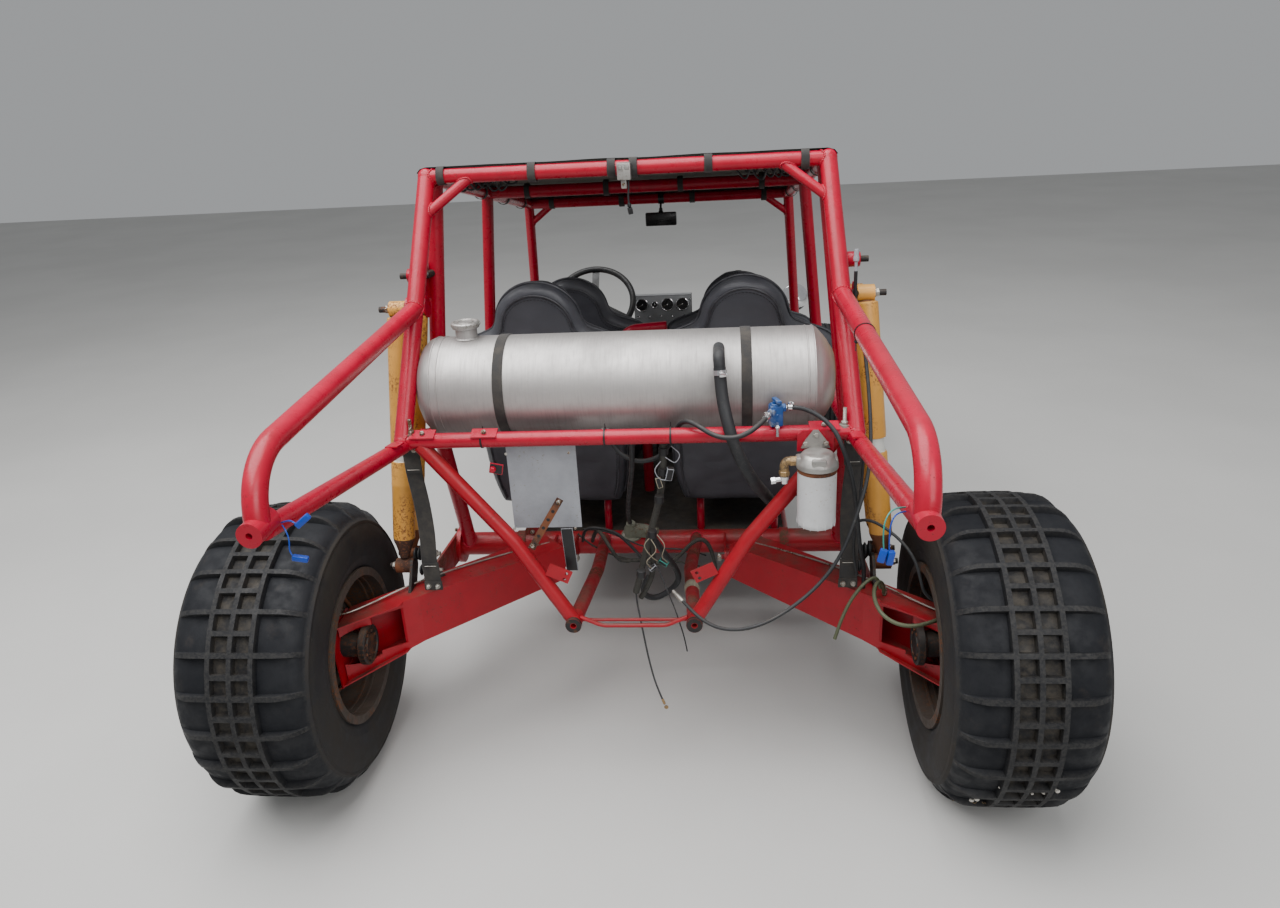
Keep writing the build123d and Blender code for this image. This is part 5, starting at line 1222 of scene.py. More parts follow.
class BUGGY_OT_seats(bpy.types.Operator):
    """Pad the seats, with piping and stitches along their seams"""

    bl_idname = "buggy.seats"
    bl_label = "Seats"

    def execute(self, context):
        settings = context.scene.buggy_seats
        for name, node, mesh, fill in (
            ("seat_back_pads", "seat_backs", self.back_form(), 0.85),
            ("seat_cushion_pads", "seat_cushions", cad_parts["seat_cushions"].data.copy(), 0.8),
            ("seat_wing_pads", "seat_wings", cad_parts["seat_wings"].data.copy(), 0.8),
        ):
            pad = self.soften(context, name, node, mesh, settings)
        self.add_seams(settings)
        return {"FINISHED"}

    def back_form(self):
        """The four backs as sections from rear to front, narrower at both faces."""
        bm = bmesh.new()
        for foot, back, rise in seat_places():
            rings = []
            for depth, inset in (
                (-0.002, 0.026), (0.005, 0.01), (0.016, 0.0), (0.066, 0.0), (0.08, 0.012), (0.088, 0.03),
            ):
                outline = drawn_in(seat_outline(), inset)
                rings.append([bm.verts.new(foot + Vector((x, 0, 0)) + rise * y - back * depth) for x, y in outline])
            join_chain(bm, rings)
        bmesh.ops.recalc_face_normals(bm, faces=bm.faces)
        mesh = bpy.data.meshes.new("seat_back_form")
        bm.to_mesh(mesh)
        bm.free()
        return mesh

    def soften(self, context, name, node, mesh, settings):
        """A finely meshed pad with round edges and a swelling in its middle."""
        copy = bpy.data.objects.new(name + "_form", mesh)
        context.scene.collection.objects.link(copy)
        remesh = copy.modifiers.new("Remesh", "REMESH")
        remesh.mode = "VOXEL"
        remesh.voxel_size = settings.voxel
        graph = context.evaluated_depsgraph_get()
        fine = bpy.data.meshes.new_from_object(copy.evaluated_get(graph))
        bpy.data.objects.remove(copy)
        bm = bmesh.new()
        bm.from_mesh(fine)
        bpy.data.meshes.remove(fine)
        for _ in range(5):
            bmesh.ops.smooth_vert(bm, verts=bm.verts, factor=0.5, use_axis_x=True, use_axis_y=True, use_axis_z=True)
        bm.normal_update()
        swell = {}
        for vert in bm.verts:
            wrinkle = noise.noise(vert.co * 9) * 0.35 + noise.noise(vert.co * 26) * 0.15
            swell[vert] = vert.normal * settings.crown * (wrinkle - 0.1)
        for vert, move in swell.items():
            vert.co += move
        bm.normal_update()
        return piece(name, bm, ["seat_vinyl"], "chassis", (node,), 75)

    def add_seams(self, settings):
        bm = bmesh.new()
        for foot, back, rise in seat_places():
            for depth, inset in ((0.0, 0.024), (0.042, -0.0005), (0.083, 0.02)):
                outline = drawn_in(seat_outline(), inset)[2:-2]
                line = [foot + Vector((x, 0, 0)) + rise * y - back * depth for x, y in outline]
                add_pipe(bm, line, settings.piping, 8, 0)
                if depth != 0.042:
                    self.add_stitches(bm, line, settings.stitch, back * (0.004 if depth < 0.04 else -0.004), foot)
        piece("seat_seams", bm, ["vinyl_piping", "black_plastic"])

    def add_stitches(self, bm, line, step, lift, foot):
        """A row of stitches inside the piping."""
        middle = foot + Vector((0, 0, seat_height * 0.6))
        travelled = 0.0
        for first, second in zip(line, line[1:]):
            length = (second - first).length
            while travelled < length:
                point = part_way(first, second, travelled / length)
                inward = middle - point
                inward.y = 0
                point = point + inward.normalized() * 0.012 + lift * 0.3
                run = (second - first).normalized() * step * 0.3
                add_rod(bm, point - run, point + run, 0.0009, 5, 1)
                travelled += step
            travelled -= length


class BUGGY_OT_canopy(bpy.types.Operator):
    """Stretch the canvas over the roof and strap it to the bars"""

    bl_idname = "buggy.canopy"
    bl_label = "Canopy"

    def execute(self, context):
        settings = context.scene.buggy_canopy
        rear, front = corner("roof_rear"), corner("roof_front")
        slope = Vector((0, front.y - rear.y, front.z - rear.z))
        length = slope.length
        run = slope.normalized()
        up = Vector((1, 0, 0)).cross(run)
        half = rear.x
        lift = heavy_tube + 0.003
        wrap = settings.wrap
        columns, rows = 72, 84
        origin = Vector((0, rear.y, rear.z))
        bm = bmesh.new()
        grid = []
        for row in range(rows + 1):
            along = -settings.rear_wrap + (length + settings.rear_wrap + wrap) * row / rows
            line = []
            for column in range(columns + 1):
                across = -half - wrap + 2 * (half + wrap) * column / columns
                point = self.cloth_point(across, along, half, length, lift, settings.sag, origin, run, up)
                line.append(bm.verts.new(point))
            grid.append(line)
        for first, second in zip(grid, grid[1:]):
            for number in range(columns):
                bm.faces.new((first[number], first[number + 1], second[number + 1], second[number]))
        cloth = piece("roof_cloth", bm, ["roof_canvas"], "chassis", ("canopy",), 60)
        if cloth.data.polygons[0].normal.z < 0:
            cloth.data.flip_normals()
        self.add_loops(half, length, run, up)
        return {"FINISHED"}

    def cloth_point(self, across, along, half, length, lift, sag, origin, run, up):
        """Flat between the outer tubes, rolled down over them beyond."""
        inside_x = max(-half, min(half, across))
        inside_y = max(0, min(length, along))
        point = origin + Vector((inside_x, 0, 0)) + run * inside_y
        middle = middle_bar * length
        bay = inside_y / middle if inside_y < middle else (inside_y - middle) / (length - middle)
        side = cos(inside_x / half * pi / 2)
        dip = sag * side * sin(bay * pi) ** 2 + noise.noise(Vector((inside_x * 7, inside_y * 7, 0))) * 0.0022 * side
        beyond_x, beyond_y = across - inside_x, along - inside_y
        ripple = 1 + 0.35 * noise.noise(Vector((across * 11, along * 11, 3)))
        over_x, over_y = beyond_x / lift * ripple, beyond_y / lift * ripple
        out = Vector((sin(over_x), 0, 0)) + run * sin(over_y)
        return point + out * lift + up * (lift * cos(over_x) * cos(over_y) - dip)

    def add_loops(self, half, length, run, up):
        """Webbing round the bars, and lacing bunched in the rear corners."""
        bm = bmesh.new()
        bars = (
            # distance along the roof, places across, width
            (0.0, (-0.475, -0.236, -0.03, 0.026, 0.216, 0.457), 0.021),
            (middle_bar * length, (-0.38, -0.12, 0.12, 0.38), 0.018),
            (length, (-0.42, -0.14, 0.14, 0.42), 0.021),
        )
        origin = Vector((0, corner("roof_rear").y, corner("roof_rear").z))
        for along, places, width in bars:
            for number, across in enumerate(places):
                centre = origin + run * along + Vector((across, 0, 0))
                line = []
                for turn in turns(28):
                    radius = main_tube + 0.0022 + 0.003 * max(0, -sin(turn)) * (number % 2) + 0.0032 * max(0, sin(turn))
                    line.append(centre + run * cos(turn) * radius + up * sin(turn) * radius)
                add_strap(bm, line, (1, 0.06 * (number % 3 - 1), 0), width, 0.0018, 0, True)
        for side in (-1, 1):
            for along in (0.18, 0.42, 0.66, 0.88):
                centre = origin + run * along * length + Vector((side * half, 0, 0))
                line = [centre + Vector((side * cos(t), 0, 0)) * 0.0222 + up * sin(t) * 0.0236 for t in turns(26)]
                add_strap(bm, line, run, 0.018, 0.0018, 0, True)
            for number in range(7):
                mark = noise.cell_vector(Vector((number * 3.7, side * 2.3, 0.5)))
                start = origin + Vector((side * (0.455 - 0.022 * number), 0.016, -0.014))
                loop = [
                    start,
                    start + Vector((side * -0.012, 0.02 + 0.02 * mark.x, -0.016 - 0.022 * mark.y)),
                    start + Vector((side * -0.03, 0.034, -0.01 - 0.018 * mark.z)),
                    start + Vector((side * -0.04, 0.02, 0.0)),
                ]
                add_pipe(bm, loop, 0.0028, 6, 5, 1)
        piece("roof_straps", bm, ["woven_strap", "black_plastic"])


# Centre, radius and half length of the tank
tank_centre_x = -0.01
tank_radius = 0.128
tank_half = 0.527


def tank_axis():
    return spot(tank_centre_x, 0.2, 1.0462)


class BUGGY_OT_tank(bpy.types.Operator):
    """Turn the fuel tank with its domes, filler, vent and outlet"""

    bl_idname = "buggy.tank"
    bl_label = "Fuel tank"

    def execute(self, context):
        settings = context.scene.buggy_tank
        axis = tank_axis()
        left = axis - Vector((tank_half, 0, 0))
        bm = bmesh.new()
        profile = [(0.0, 0.0), (0.0005, 0.03)]
        for share in (0.2, 0.4, 0.6, 0.8, 0.92):
            turn = share * pi / 2
            profile.append((0.05 * (1 - cos(turn)), 0.03 + 0.0965 * sin(turn)))
        for seam in (0.0535, 0.0715):
            profile += [
                (seam - 0.0022, 0.1276), (seam - 0.0012, 0.1292), (seam + 0.0012, 0.1292), (seam + 0.0022, 0.1278),
            ]
        for along in (0.2, 0.35, 0.5, 0.65, 0.8, 0.93):
            profile.append((along, tank_radius - 0.0002))
        for seam in (0.984, 1.0005):
            profile += [
                (seam - 0.0022, 0.1278), (seam - 0.0012, 0.1292), (seam + 0.0012, 0.1292), (seam + 0.0022, 0.1276),
            ]
        profile += [(1.012, 0.1225), (1.034, 0.096), (1.049, 0.072), (1.0525, 0.064), (1.054, 0.055), (1.054, 0.0)]
        add_lathe(bm, left, (1, 0, 0), profile, settings.sides)
        neck = Vector((-0.405, axis.y, axis.z + 0.1))
        add_lathe(
            bm, neck, (0, 0, 1),
            (
                (0, 0.027), (0.02, 0.027), (0.027, 0.031), (0.03, 0.0275), (0.052, 0.0272), (0.054, 0.034),
                (0.058, 0.034), (0.058, 0.02),
            ),
            48,
        )
        vent_end = spot(0.234, 0.052, 1.1203)
        vent_run = Vector((-0.003, 0.012, 0.058)).normalized()
        elbow = vent_end + vent_run * 0.022
        outlet_end = spot(-0.05, 0.12, 0.931)
        outlet_run = Vector((-0.012, 0.003, 0.031)).normalized()
        add_rod(bm, outlet_end, outlet_end + outlet_run * 0.05, 0.005, 16)
        add_rod(bm, outlet_end + outlet_run * 0.012, outlet_end + outlet_run * 0.026, 0.0105, 6)
        piece("tank_shell", bm, ["tank_aluminium"], "chassis", ("fuel_tank",), 30)

        bm = bmesh.new()
        bend = [
            vent_end - vent_run * 0.004, vent_end + vent_run * 0.01, elbow + Vector((0, 0.005, 0.001)),
            elbow + Vector((0, 0.026, 0.004)), elbow + Vector((0, 0.075, 0.005)),
        ]
        add_pipe(bm, bend, 0.014, 24, 6)
        piece("vent_elbow", bm, ["hose_rubber"])

        bm = bmesh.new()
        seat = Vector((-0.405, axis.y, axis.z + tank_radius + 0.03))
        add_lathe(
            bm, seat, (0, 0, 1),
            (
                (0, 0.02), (0, 0.0355), (0.002, 0.037), (0.0085, 0.037), (0.0105, 0.0352), (0.0115, 0.03),
                (0.01, 0.028), (0.01, 0),
            ),
            64,
        )
        for turn in turns(24):
            place = seat + Vector((cos(turn) * 0.0368, sin(turn) * 0.0368, 0.0052))
            add_ball(bm, place, 0.0022, (0.6, 0.6, 1.3), 8)
        add_lathe(
            bm, seat + Vector((0, 0, 0.0098)), (0, 0, 1),
            ((0, 0.0215), (0.0008, 0.0205), (0.0016, 0.0205), (0.0019, 0.019), (0.0009, 0.0175), (0, 0.0175)), 48,
            hollow=True,
        )
        piece("filler_lid", bm, ["bare_alloy"], "chassis", ("filler_cap",))

        bm = bmesh.new()
        for band_x in (-0.31, 0.299):
            line = [Vector((band_x, axis.y, axis.z)) + Vector((0, cos(t), sin(t))) * 0.1294 for t in turns(80)]
            add_strap(bm, line, (1, 0, 0), 0.026, 0.0024, 0, True)
            low = Vector((band_x, axis.y - 0.055, axis.z - 0.1225))
            for shift in (-0.012, 0.012):
                add_block(bm, low + Vector((0, shift, -0.006)), (0.026, 0.004, 0.02), (-25, 0, 0), 0.001)
            add_rod(bm, low + Vector((0, -0.024, -0.002)), low + Vector((0, 0.024, -0.012)), 0.003, 10, 1)
        self.add_limit_straps(bm)
        cable_top = spot(0.568, 0.192, 1.22)
        run = Vector((-0.008, 0.016, 0.03)).normalized()
        add_lathe(
            bm, cable_top + run * 0.0005, run,
            ((0, 0.0055), (0.001, 0.008), (0.01, 0.008), (0.011, 0.0066), (0.02, 0.0066), (0.0215, 0.004)), 16, 1,
        )
        piece("strap_set", bm, ["woven_strap", "zinc_bolt", "black_steel"], "chassis", ("straps",))
        return {"FINISHED"}

    def add_limit_straps(self, bm):
        """Thick webbing from the side tubes down to the arms, doubled at its ends."""
        for side in (-1, 1):
            top = part_way(corner("rear_low", side), corner("hoop_waist", side), 0.15)
            foot = Vector((top.x, top.y + 0.02, 0.484))
            drop = foot - top
            line = [
                top + drop * share + Vector((side * 0.004 * sin(share * 9), 0.004 * sin(share * 5), 0))
                for share in (0.05, 0.2, 0.4, 0.6, 0.8, 0.97)
            ]
            add_strap(bm, line, (1, 0, 0), 0.044, 0.0055)
            for start, end in ((0.04, 0.2), (0.8, 0.98)):
                doubled = [top + drop * share + Vector((0, -0.0055, 0)) for share in (start, (start + end) / 2, end)]
                add_strap(bm, doubled, (1, 0, 0), 0.045, 0.005)
                for share in (start + 0.02, end - 0.02):
                    add_rod(
                        bm, top + drop * share + Vector((-0.016, -0.009, 0)),
                        top + drop * share + Vector((0.016, -0.009, 0)), 0.0008, 6, 1,
                    )
            for share in (0.05, 0.955):
                centre = top + drop * share
                add_block(bm, centre + Vector((0, -0.01, 0)), (0.05, 0.004, 0.026), (0, 0, 0), 0.001, 2)
                for shift in (-0.013, 0.013):
                    add_bolt(bm, centre + Vector((shift, -0.012, 0)), (0, -1, 0), 0.00675, 0.006, 0.006, 1)


class BUGGY_OT_shocks(bpy.types.Operator):
    """Turn the shock absorbers, yellow bodies on pale rods with rusty eyes"""

    bl_idname = "buggy.shocks"
    bl_label = "Shock absorbers"

    def execute(self, context):
        bm = bmesh.new()
        # yellow 0, pale rod 1, rusty 2, bolts 3
        rear_profile = (
            (0.0, 0.012), (0.016, 0.012), (0.02, 0.022), (0.024, 0.0292), (0.03, 0.03), (0.364, 0.03),
            (0.371, 0.029), (0.3725, 0.0245), (0.374, 0.0236), (0.408, 0.0236), (0.4095, 0.0255),
            (0.4105, 0.029), (0.414, 0.03), (0.47, 0.03), (0.472, 0.0304), (0.48, 0.0304),
            (0.482, 0.03), (0.632, 0.03), (0.64, 0.0286), (0.654, 0.0228), (0.668, 0.018), (0.69, 0.013),
        )
        rear_paints = [2, 2, 0, 0, 0, 0, 0, 1, 1, 1, 0, 0, 0, 0, 0, 0, 0, 2, 2, 2, 2]
        for side in (-1, 1):
            for shock in ("shock", "second_shock"):
                top, low = corner(shock + "_top", side), corner(shock + "_low", side)
                line = low - top
                profile = [(along, radius) for along, radius in rear_profile if along < line.length]
                add_lathe(bm, top, line, profile, 40, 0, rear_paints)
                for eye, paint in ((top, 0), (low, 2)):
                    self.add_eye(bm, eye, 0.021, 0.044, 0.0084, paint)
                    add_rod(bm, eye - Vector((side * 0.03, 0, 0)), eye + Vector((side * 0.024, 0, 0)), 0.0082, 16, 3)
                    add_bolt(bm, eye + Vector((side * 0.0235, 0, 0)), (side, 0, 0), 0.011, 0.009, 0.004, 3)
            top = Vector((side * 0.53, rear_axle + 2.6, 0.59))
            low = Vector((side * 0.53, front_axle + 0.055, 0.262))
            line = low - top
            front = (
                (0.0, 0.009), (0.018, 0.01), (0.022, 0.02), (0.17, 0.02), (0.172, 0.016), (0.285, 0.016), (0.3, 0.013),
                (line.length - 0.004, 0.01),
            )
            add_lathe(bm, top, line, [row for row in front if row[0] < line.length], 28, 0, [2, 0, 0, 0, 1, 1, 2])
            for eye in (top, low):
                self.add_eye(bm, eye, 0.015, 0.03, 0.0072, 2)
            tower, link = Vector((side * 0.43, top.y, top.z)), Vector((side * 0.488, low.y, low.z))
            add_rod(bm, tower, top + Vector((side * 0.018, 0, 0)), 0.007, 14, 3)
            add_rod(bm, link, low + Vector((side * 0.018, 0, 0)), 0.007, 14, 3)
            add_bolt(bm, top + Vector((side * 0.017, 0, 0)), (side, 0, 0), 0.009, paint=3)
            add_bolt(bm, low + Vector((side * 0.017, 0, 0)), (side, 0, 0), 0.009, paint=3)
        paints = ("yellow_shock", "shock_rod", "rust_iron", "zinc_bolt")
        piece("shock_set", bm, paints, "chassis", ("shocks",), 30)
        return {"FINISHED"}

    def add_eye(self, bm, centre, radius, length, bore, paint):
        """A ring across the shock's end, with the rubber bush inside."""
        start = centre - Vector((length / 2, 0, 0))
        wall = (
            (0, radius - 0.006), (0, radius - 0.001), (0.001, radius), (length - 0.001, radius),
            (length, radius - 0.001), (length, radius - 0.006),
        )
        add_lathe(bm, start, (1, 0, 0), wall, 32, paint, hollow=True)
        add_lathe(
            bm, start - Vector((0.0015, 0, 0)), (1, 0, 0),
            ((0, bore), (0.001, radius - 0.007), (length + 0.002, radius - 0.007), (length + 0.003, bore)), 28, 3,
            hollow=True,
        )


# How much higher than its node the oil filter sits
filter_lift = 0.026


class BUGGY_OT_filter(bpy.types.Operator):
    """Turn the oil filter, its cast head, and the fuel valve beside it"""

    bl_idname = "buggy.filter"
    bl_label = "Oil filter and fuel valve"

    def execute(self, context):
        low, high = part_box("oil_filter")
        centre = (low + high) / 2
        low.z += filter_lift
        high.z += filter_lift
        foot = Vector((centre.x, centre.y, low.z))
        height = high.z - low.z
        bm = bmesh.new()
        can = [
            (0.0, 0.0), (0.0, 0.028), (0.0035, 0.031), (0.0015, 0.037), (0.003, 0.0425), (0.0075, 0.0455),
            (0.016, 0.0458),
        ]
        can += [(height - 0.02, 0.0458), (height - 0.014, 0.0458), (height - 0.0105, 0.0453)]
        can += [
            (height - 0.0085, 0.046), (height - 0.006, 0.0463), (height - 0.0035, 0.046), (height - 0.001, 0.0446),
            (height, 0.0435), (height, 0.0),
        ]
        paints = [0] * (len(can) - 7) + [1] * 6
        add_lathe(bm, foot, (0, 0, 1), can, 64, 0, paints)
        for turn in turns(16):
            place = foot + Vector((cos(turn) * 0.0452, sin(turn) * 0.0452, 0.012))
            add_ball(bm, place, 0.004, (0.4, 0.4, 2.6), 8)
        piece("filter_can", bm, ["filter_white", "rust_iron"], "chassis", ("oil_filter",))

        bm = bmesh.new()
        seat = Vector((centre.x, centre.y, high.z))
        head = (
            (0, 0.0), (0, 0.046), (0.001, 0.0488), (0.01, 0.049), (0.014, 0.0478), (0.02, 0.044), (0.028, 0.04),
            (0.034, 0.0355), (0.036, 0.03), (0.036, 0),
        )
        add_lathe(bm, seat, (0, 0, 1), head, 56)
        add_block(bm, seat + Vector((0, 0, 0.02)), (0.034, 0.09, 0.026), (0, 0, 0), 0.005)
        add_block(bm, seat + Vector((-0.03, 0.004, 0.014)), (0.04, 0.036, 0.026), (0, 0, 0), 0.006)
        add_block(bm, seat + Vector((0.03, 0.004, 0.014)), (0.034, 0.034, 0.024), (0, 0, 0), 0.006)
        bracket_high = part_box("filter_head")[1]
        bracket_y = bracket_high.y - 0.006
        top = bracket_high.z - 0.004 - high.z
        outline = [
            Vector((centre.x + x, bracket_y, high.z + z))
            for x, z in ((-0.043, 0.02), (0.043, 0.02), (0.043, 0.062), (0.03, top), (-0.03, top), (-0.043, 0.062))
        ]
        add_plate(bm, outline, Vector((0, 0.005, 0)), 1)
        casting = [
            Vector((centre.x + x, bracket_y - 0.007, high.z + z))
            for x, z in ((-0.034, 0.03), (0.034, 0.03), (0.024, 0.05), (0.006, 0.074), (-0.006, 0.074), (-0.024, 0.05))
        ]
        add_plate(bm, casting, Vector((0, 0.0072, 0)), 0)
        for shift_x, shift_z in ((0, 0.064), (-0.024, 0.042), (0.024, 0.042)):
            add_bolt(
                bm, Vector((centre.x + shift_x, bracket_y - 0.007, high.z + shift_z)), (0, -1, 0), 0.0062, 0.005,
                paint=2,
            )
        port = seat + Vector((-0.046, 0.004, 0.014))
        add_rod(bm, port, port - Vector((0.018, 0, 0)), 0.0125, 6, 3)
        add_pipe(
            bm,
            [
                port - Vector((0.014, 0, 0)), port - Vector((0.024, 0, 0.001)), port - Vector((0.03, 0, 0.01)),
                port - Vector((0.03, 0, 0.026)),
            ],
            0.0105, 16, 6, 3,
        )
        add_rod(bm, port - Vector((0.03, 0, 0.024)), port - Vector((0.03, 0, 0.036)), 0.013, 6, 3)
        low_port = port - Vector((0.03, 0, 0.036))
        add_lathe(
            bm, low_port, (0, 0, -1),
            ((0, 0.008), (0.002, 0.0115), (0.01, 0.0115), (0.012, 0.0085), (0.02, 0.0085), (0.021, 0.006)), 20, 4,
        )
        add_rod(bm, low_port - Vector((0, 0, 0.008)), low_port - Vector((0.028, 0.004, 0.012)), 0.0065, 16, 4)
        add_rod(bm, low_port - Vector((0.02, 0.003, 0.011)), low_port - Vector((0.032, 0.004, 0.0125)), 0.0088, 6, 4)
        paints = ("bare_alloy", "red_paint", "zinc_bolt", "brass", "chrome")
        piece("filter_casting", bm, paints, "chassis", ("filter_head",))
        self.add_valve()
        return {"FINISHED"}

    def add_valve(self):
        """Blue two-way cock with its nuts and steel barbs."""
        bm = bmesh.new()
        foot = spot(0.365, 0.04, 0.97435)
        add_block(bm, foot + Vector((0, 0, 0.028)), (0.031, 0.031, 0.052), (0, 0, 8), 0.004)
        for height, size in ((0.004, 0.0135), (0.027, 0.0175), (0.05, 0.0145)):
            add_rod(bm, foot + Vector((0, 0, height)), foot + Vector((0, 0, height + 0.008)), size, 6)
        add_rod(bm, foot + Vector((0, 0, 0.056)), foot + Vector((0, 0, 0.064)), 0.0075, 20)
        add_block(bm, foot + Vector((0.002, -0.006, 0.066)), (0.012, 0.038, 0.007), (0, 0, 18), 0.002)
        heart = spot(0.365, 0.04, 1.018)
        for end in (spot(0.346, 0.012, 1.01), spot(0.392, 0.038, 1.022)):
            run = (end - heart).normalized()
            add_rod(bm, heart + run * 0.01, heart + run * 0.024, 0.0105, 6)
            add_lathe(
                bm, heart, run,
                (
                    (0.02, 0.0044), ((end - heart).length - 0.004, 0.0044), ((end - heart).length - 0.002, 0.0052),
                    ((end - heart).length, 0.0044),
                ),
                18, 1,
            )
        drain = foot + Vector((0.002, -0.018, 0.012))
        add_rod(bm, drain, drain + Vector((0, -0.016, -0.004)), 0.0058, 6, 1)
        add_rod(bm, drain + Vector((0, -0.014, -0.004)), drain + Vector((0, -0.018, -0.026)), 0.004, 14, 1)
        piece("valve_body", bm, ["blue_valve", "chrome"], "chassis", ("fuel_valve",))


class BUGGY_OT_cab(bpy.types.Operator):
    """Fit out the cab: dash and gauges, mirror, roof light, headlamps, steering wheel"""

    bl_idname = "buggy.cab"
    bl_label = "Cab"

    def execute(self, context):
        self.add_dash()
        self.add_mirror_and_light()
        self.add_lamps()
        self.add_wheel_trim()
        return {"FINISHED"}

    def add_dash(self):
        low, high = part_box("dash_panel")
        low.y += 0.01
        high.z += 0.026
        centre = (low + high) / 2
        size = high - low
        bm = bmesh.new()
        wall = 0.003
        add_block(bm, Vector((centre.x, low.y + wall / 2, centre.z)), (size.x, wall, size.z), (0, 0, 0), 0.001)
        for place, extent in (
            (Vector((centre.x, centre.y, high.z - wall / 2)), (size.x, size.y, wall)),
            (Vector((centre.x, centre.y, low.z + wall / 2)), (size.x, size.y, wall)),
            (Vector((low.x + wall / 2, centre.y, centre.z)), (wall, size.y, size.z)),
            (Vector((high.x - wall / 2, centre.y, centre.z)), (wall, size.y, size.z)),
        ):
            add_block(bm, place, extent, (0, 0, 0), 0.001)
        for across, radius in ((-0.09, 0.028), (-0.035, 0.015), (0.02, 0.028), (0.084, 0.028)):
            dial = Vector((centre.x + across, low.y, centre.z + 0.032))
            bezel = (
                (-0.002, radius), (0.004, radius + 0.001), (0.009, radius), (0.01, radius - 0.002),
                (0.0092, radius - 0.004), (0.006, radius - 0.0045),
            )
            add_lathe(bm, dial, (0, -1, 0), bezel, 40, 1, hollow=True)
            add_lathe(bm, dial, (0, -1, 0), ((0.0062, radius - 0.004), (0.0064, 0)), 32, 2)
            count = 11 if radius > 0.02 else 5
            for number in range(count):
                turn = radians(225 - 270 * number / (count - 1))
                out = Vector((cos(turn), 0, sin(turn)))
                add_rod(
                    bm, dial + out * (radius - 0.0075) - Vector((0, 0.0066, 0)),
                    dial + out * (radius - 0.0052) - Vector((0, 0.0066, 0)), 0.0004, 5, 3,
                )
            needle = Vector((cos(radians(205)), 0, sin(radians(205))))
            add_rod(
                bm, dial - Vector((0, 0.0072, 0)) - needle * 0.004,
                dial - Vector((0, 0.0072, 0)) + needle * (radius - 0.009), 0.0005, 5, 3,
            )
            add_rod(bm, dial - Vector((0, 0.0062, 0)), dial - Vector((0, 0.008, 0)), 0.0022, 12, 1)
        for across in (-0.108, -0.06, -0.01, 0.04, 0.09):
            switch = Vector((centre.x + across, low.y, centre.z - 0.02))
            add_lathe(
                bm, switch, (0, -1, 0),
                ((0, 0.0065), (0.003, 0.0065), (0.0035, 0.003), (0.012, 0.0022), (0.013, 0.001)), 14, 1,
            )
        for across in (-0.117, 0.117):
            for rise in (-0.05, 0.05):
                add_bolt(bm, Vector((centre.x + across, low.y, centre.z + rise)), (0, -1, 0), 0.0032, 0.002, paint=1)
        piece(
            "dash_box", bm, ("dash_grey", "chrome", "gauge_black", "wire_pale"), "chassis",
            ("dash_panel",),
        )

    def add_mirror_and_light(self):
        low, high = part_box("cab_mirror")
        centre = Vector(((low.x + high.x) / 2, low.y + 0.009, 1.264))
        bm = bmesh.new()
        add_block(bm, centre, (0.122, 0.017, 0.052), (0, 0, 0), 0.006)
        add_block(bm, centre + Vector((0, -0.0086, 0)), (0.108, 0.001, 0.042), (0, 0, 0), 0.0003, 1)
        top = spot(0.017, 1.681, 1.336)
        add_lathe(bm, centre + Vector((0, 0.006, 0.024)), (0, 0, 1), ((0, 0.01), (0.006, 0.009), (0.01, 0.005)), 20)
        add_ball(bm, centre + Vector((0, 0.008, 0.036)), 0.0075)
        add_pipe(
            bm,
            [
                centre + Vector((0, 0.008, 0.036)), centre + Vector((0, 0.012, 0.05)),
                part_way(centre, top, 0.75) + Vector((0, 0, 0.004)), top - Vector((0, 0.01, 0.012)),
            ],
            0.0042, 12, 6,
        )
        add_band(bm, top - Vector((0.011, 0, 0)), (1, 0, 0), main_tube + 0.0005, main_tube + 0.003, 0.022, 32)
        piece("mirror_set", bm, ["gauge_black", "black_plastic"], "chassis", ("cab_mirror",))

        low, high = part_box("roof_light")
        centre = (low + high) / 2
        size = high - low
        bm = bmesh.new()
        add_block(bm, centre, size, (0, 0, 0), 0.0025)
        for shift in (-0.0085, 0.0085):
            add_block(
                bm, Vector((centre.x + shift, low.y - 0.0002, centre.z + 0.01)), (0.01, 0.002, 0.011), (0, 0, 0),
                0.0006, 1,
            )
        add_block(bm, centre + Vector((-0.002, 0.004, -0.03)), (0.014, 0.012, 0.024), (6, 0, 0), 0.0015)
        add_bolt(bm, centre + Vector((-0.002, -0.0035, -0.032)), (0, -1, 0), 0.0036, 0.003, paint=2)
        piece("light_case", bm, ["bare_alloy", "gauge_black", "zinc_bolt"], "chassis", ("roof_light",))

    def add_lamps(self):
        bm = bmesh.new()
        for side in (-1, 1):
            centre = spot(side * 0.586, 2.15, 0.812)
            shell = [
                (-0.07, 0.0), (-0.07, 0.014), (-0.067, 0.024), (-0.056, 0.036), (-0.038, 0.0462), (-0.012, 0.053),
                (0.02, 0.0575), (0.024, 0.0615), (0.03, 0.0622), (0.04, 0.062), (0.044, 0.059), (0.0445, 0.056),
            ]
            add_lathe(bm, centre, (0, 1, 0), shell, 56)
            add_lathe(
                bm, centre, (0, 1, 0), ((0.04, 0.056), (0.044, 0.054), (0.0475, 0.035), (0.0495, 0.015), (0.05, 0.0)),
                48, 1,
            )
            foot = part_way(corner("waist_front", side), corner("nose_top", side), 0.3)
            add_rod(bm, foot + (centre - foot).normalized() * 0.016, centre - Vector((0, 0, 0.05)), 0.008, 20, 2)
            add_rod(bm, centre - Vector((0, 0, 0.064)), centre - Vector((0, 0, 0.05)), 0.015, 6, 2)
        piece("lamp_pair", bm, ["chrome", "lamp_glass", "black_steel"], "chassis", ("headlamps",))

